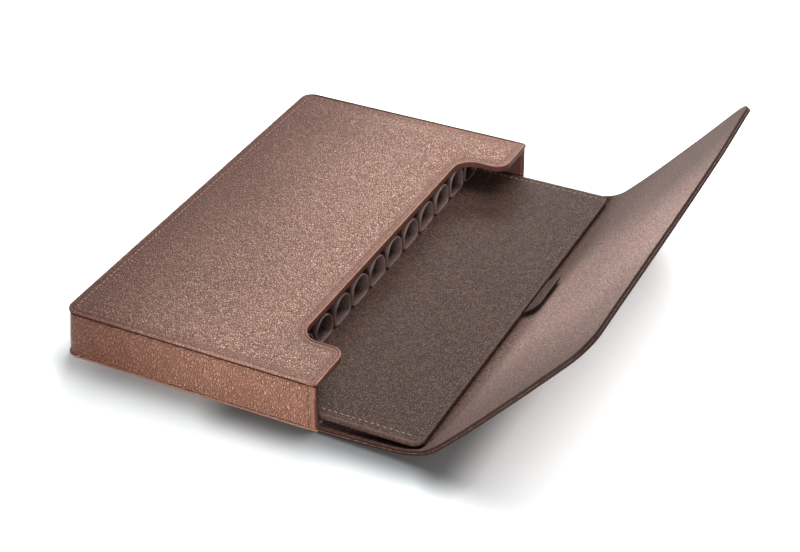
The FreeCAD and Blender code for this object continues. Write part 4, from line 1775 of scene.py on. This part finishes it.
@dataclass
class Stitching:
    """Rows of stitches; one stitch is modelled, and the rows repeat it."""

    pitch: float = 2.8
    length: float = 2.0
    width: float = 0.55
    depth: float = 0.42
    facets: int = 7
    hole_radius: float = 0.3
    hole_height: float = 0.03
    thread_height: float = 0.06
    end_dip: float = 0.2
    wobble: float = 0.06
    wall_inset: float = 3.8
    notch_inset: float = 3.1
    end_inset: float = 3.9
    end_foot: float = 2.8
    end_count: int = 8
    proud: float = 0.05
    tray_sink: float = 0.06

    def _master(self) -> Piece:
        """Models one stitch: the thread, its ends drawn down, and the needle hole after it.

        Returns:
            The stitch.
        """
        bench = Bench("stitch")
        bench.ball(self.facets, Vector((self.length, self.width, self.depth)) / 2.0)
        reach = self.length / 2.0
        bench.shape(lambda p: p + UPWARDS * (self.thread_height - self.end_dip * (p.x / reach) ** 2))
        with bench.work():
            bpy.ops.mesh.primitive_circle_add(
                vertices=self.facets, radius=self.hole_radius * MM, fill_type="NGON",
                location=(self.pitch / 2.0 * MM, 0.0, self.hole_height * MM),
            )
        return bench.piece

    def lay(self, name: str, row: Sequence[Stitch], body: Body, thread: Thread) -> None:
        """Repeats the stitch along a row.

        Args:
            name: The piece's name.
            row: The stitches in order.
            body: The body that carries them.
            thread: Their thread.
        """
        master = self._master()
        points = [vertex.co.copy() for vertex in master.data.vertices]
        faces = [tuple(polygon.vertices) for polygon in master.data.polygons]
        bpy.data.objects.remove(master)
        slots = [
            int(len(face) == self.facets and all(abs(points[i].z / MM - self.hole_height) < MATCH for i in face))
            for face in faces
        ]
        vertices: list[Vector] = []
        polygons: list[tuple[int, ...]] = []
        chance = random.Random(len(row))
        for stitch in row:
            across = stitch.out.cross(stitch.heading).normalized()
            turn = Matrix.Rotation(chance.uniform(-self.wobble, self.wobble), 3, "Z")
            placed = Matrix((stitch.heading, across, stitch.out)).transposed() @ turn
            base = len(vertices)
            vertices += [placed @ point + stitch.place * MM for point in points]
            polygons += [tuple(base + i for i in face) for face in faces]
        mesh = bpy.data.meshes.new(name)
        mesh.from_pydata(vertices, [], polygons)
        mesh.update()
        mesh.polygons.foreach_set("use_smooth", [True] * len(polygons))
        for finish in (thread, NEEDLE_HOLE):
            mesh.materials.append(finish.material())
        mesh.polygons.foreach_set("material_index", slots * len(row))
        piece = bpy.data.objects.new(name, mesh)
        bpy.context.scene.collection.objects.link(piece)
        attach(piece, body.value)
        LOG.info("%s: %d stitches", name, len(row))

    def on_top(self, top: PaddedTop) -> None:
        """Sews the top along the walls and round the notch.

        Args:
            top: The top.
        """
        rows = (
            ("stitches_walls", self.wall_inset, WALL_RUNS, SEAM_THREAD),
            ("stitches_notch", self.notch_inset, NOTCH_RUNS, NOTCH_THREAD),
        )
        for name, inset, runs, thread in rows:
            row = [
                Stitch(Vector((place.x, place.y, top.height(place.x, place.y))), ahead)
                for place, ahead in notch_outline(inset).walk(self.pitch, runs)
            ]
            self.lay(name, row, Body.SLEEVE, thread)

    def on_wall_ends(self, walls: WallLeather) -> None:
        """Sews down the turned leather at the front end of both walls.

        Args:
            walls: The walls.
        """
        row = []
        for sign in SIDES:
            for z in steps(self.end_foot, self.pitch * 0.9, self.end_count):
                y = CASE.wall_face + along_table(walls.profile, z) + walls.side_lean * walls.fall(z) + self.proud
                place = Vector((CASE.mouth - self.end_inset, sign * y, z))
                row.append(Stitch(place, UPWARDS, Vector((0.0, sign, 0.0))))
        self.lay("stitches_wall_ends", row, Body.SLEEVE, END_THREAD)

    def on_tray(self, tray: Tray) -> None:
        """Sews round the tray, inside its edge; the row along the front has a darker thread.

        Args:
            tray: The tray.
        """
        sides: list[Stitch] = []
        front: list[Stitch] = []
        for place, ahead in tray.outline(tray.seam).walk(self.pitch, (3, 0, 1, 2)):
            row = front if place.x > tray.x[1] - tray.seam - 0.8 else sides
            row.append(Stitch(Vector((place.x, place.y, tray.z[1] - self.tray_sink)), ahead))
        self.lay("stitches_tray", sides, Body.TRAY, TRAY_THREAD)
        self.lay("stitches_tray_front", front, Body.TRAY, FRONT_THREAD)


class HiddenLayers:
    """Finishes for the frame's own nodes: leathers, linings, boards, felt, welt and magnets."""

    finishes: dict[Finish, tuple[str, ...]] = {
        # The base board is near-black as painted shade.
        SHADED_BOARD: ("base_board",),
        LINING: ("base_lining", "tongue_lining", "flap_front_lining", "flap_cover_lining", "tray_lining"),
        INNER_SUEDE: ("wall_lining", "top_lining"),
        WELT_AND_PAINTED_SHADE: ("top_seam_welt",),
        TOP_LEATHER: ("top_leather",),
        WALL_LEATHER: ("wall_leather",),
        FLAP_LEATHER: ("base_leather", "flap_front_leather", "flap_cover_leather"),
        NOTCH_LEATHER_AND_SHADE: ("notch_binding",),
        TURNED_EDGE: ("lower_fold_strip", "upper_fold_strip"),
        TRAY_LEATHER: ("tray_leather", "tab_anchor", "pull_tab"),
        FELT: ("top_pad",),
        MAGNET: ("case_magnets", "flap_magnets"),
    }

    def dress(self) -> None:
        """Gives every node of the frame its finish."""
        chosen = {name: finish for finish, names in self.finishes.items() for name in names}
        for name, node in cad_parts.items():
            finish = LOOP_LEATHER if name.startswith("pen_loop") else chosen.get(name, GREYBOARD)
            node.data.materials.clear()
            node.data.materials.append(finish.material())
        LOG.info("frame nodes dressed: %d", len(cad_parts))


@dataclass(frozen=True)
class Lamp:
    """A soft box: its place, size, power and the point that it faces, in metres and watts."""

    name: str
    place: Triple
    size: Span
    power: float
    aim: Triple = (0.03, 0.02, 0.01)

    def hang(self) -> None:
        """Sets the soft box in the scene."""
        data = bpy.data.lights.new(self.name, "AREA")
        data.shape = "RECTANGLE"
        data.size, data.size_y = self.size
        data.energy = self.power
        lamp = bpy.data.objects.new(self.name, data)
        back = Vector(self.place) - Vector(self.aim)
        lamp.matrix_world = Matrix.Translation(self.place) @ back.to_track_quat("Z", "Y").to_matrix().to_4x4()
        bpy.context.scene.collection.objects.link(lamp)


@dataclass(frozen=True)
class ShadeBox:
    """A box over the floor that shades it, with its middle and half its sizes in metres."""

    centre: Triple
    half: Triple

    def distance(self, graph: Graph) -> Socket:
        """Measures how far a place is from the box.

        Args:
            graph: The floor's graph.

        Returns:
            The socket with the distance in metres, nothing inside the box.
        """
        beside = graph.vector("ABSOLUTE", graph.vector("SUBTRACT", graph.place(), self.centre))
        outside = graph.vector("MAXIMUM", graph.vector("SUBTRACT", beside, self.half), (0.0, 0.0, 0.0))
        return graph.add("ShaderNodeVectorMath", {0: outside}, operation="LENGTH").outputs["Value"]


@dataclass
class Studio:
    """Pale floor, soft lamps and the camera; the floor's sizes are millimetres, and the rest is metres."""

    camera_place: Triple = (0.3547, -0.6181, 0.4738)
    camera_back: Triple = (0.3706, -0.7411, 0.5598)
    roll: float = math.radians(-0.45)
    lens: float = 82.67
    lamps: tuple[Lamp, ...] = (
        Lamp("back_box", (-0.24, 0.8, 0.56), (0.5, 0.28), 10.2),
        Lamp("overhead_box", (0.15, 0.1, 0.42), (0.3, 0.3), 2.9),
        Lamp("front_box", (0.17, -0.56, 0.07), (0.3, 0.1), 4.05, (0.0, -0.1, 0.02)),
        Lamp("right_box", (1.0, 0.3, 0.5), (0.6, 0.5), 1.5),
    )
    ambient: float = 0.12
    floor_half: float = 1500.0
    floor_drop: float = 0.05
    case_box: ShadeBox = ShadeBox((0.032, 0.0, 0.0), (0.065, 0.108, 1.0))
    fold_box: ShadeBox = ShadeBox((0.07, -0.02, 0.0), (0.045, 0.0885, 1.0))

    def camera(self) -> None:
        """Sets the camera."""
        back = Vector(self.camera_back).normalized()
        right = UPWARDS.cross(back).normalized()
        turned = Matrix((right, back.cross(right), back)).transposed().to_4x4()
        data = bpy.data.cameras.new("studio_camera")
        data.lens = self.lens
        data.sensor_width = 36.0
        data.clip_start = 0.01
        camera = bpy.data.objects.new("studio_camera", data)
        camera.matrix_world = Matrix.Translation(self.camera_place) @ turned @ Matrix.Rotation(self.roll, 4, "Z")
        bpy.context.scene.collection.objects.link(camera)
        bpy.context.scene.camera = camera

    def world(self) -> None:
        """Even light from all round, with a white background for the camera."""
        world = bpy.data.worlds.new("studio_world")
        bpy.context.scene.world = world
        world.use_nodes = True
        graph = Graph(world.node_tree)
        strength = graph.sum("MULTIPLY_ADD", graph.seen(), 1.0 - self.ambient, self.ambient)
        ground = graph.add("ShaderNodeBackground", {"Color": WHITE, "Strength": strength})
        graph.add("ShaderNodeOutputWorld", {"Surface": ground.outputs[0]})

    def floor(self) -> None:
        """Lays the pale floor. For the camera it carries a painted shadow round the case and glows less there; for
        the light that it throws back it is even.
        """
        bench = Bench("studio_floor")
        bench.plane((-self.floor_half, self.floor_half), (-self.floor_half, self.floor_half), -self.floor_drop)
        material = bpy.data.materials.new("pale_floor")
        material.use_nodes = True
        graph = Graph(material.node_tree)
        paper = graph.blend(graph.noise(graph.place(), 60.0), (0.76, 0.8, 0.82), (0.78, 0.82, 0.84))
        plain = graph.add("ShaderNodeBsdfDiffuse", {"Color": paper})
        # Painted shadow: near the case, and most under the flap's fold, the floor seen by the camera is darker and
        # glows less.
        away = self.case_box.distance(graph)
        painted_contact_shadow = graph.span(self.fold_box.distance(graph), 0.0, 0.022, (0.28, 1.0))
        shadow_tint = graph.blend(graph.span(away, 0.0, 0.06), (0.55, 0.57, 0.58), (0.87, 0.9, 0.91))
        tinted = graph.add("ShaderNodeBsdfDiffuse", {"Color": graph.shade(shadow_tint, painted_contact_shadow)})
        rim = graph.sum("MULTIPLY", graph.span(away, 0.0, 0.07, (0.03, 0.48)), painted_contact_shadow)
        glow = graph.add("ShaderNodeEmission", {"Color": WHITE, "Strength": rim})
        lit = graph.add("ShaderNodeAddShader", {0: tinted.outputs[0], 1: glow.outputs[0]})
        both = graph.add("ShaderNodeMixShader", {0: graph.seen(), 1: plain.outputs[0], 2: lit.outputs[0]})
        graph.add("ShaderNodeOutputMaterial", {"Surface": both.outputs[0]})
        bench.piece.data.materials.append(material)

    def build(self) -> None:
        """Sets up the whole studio."""
        self.camera()
        self.world()
        for lamp in self.lamps:
            lamp.hang()
        self.floor()
        bpy.context.scene.view_settings.view_transform = "Standard"


def main() -> None:
    """Builds the studio and the case, part by part."""
    logging.basicConfig(level=logging.INFO, format="%(name)s %(message)s")
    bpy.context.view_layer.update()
    Studio().build()
    HiddenLayers().dress()
    top, walls, tray, stitching = PaddedTop(), WallLeather(), Tray(), Stitching()
    for part in (top, NotchEdge(), walls, FloorLip(), Flap(), tray, PenLoops(), PullTab()):
        part.build()
    stitching.on_top(top)
    stitching.on_wall_ends(walls)
    stitching.on_tray(tray)


if __name__ == "__main__":
    main()
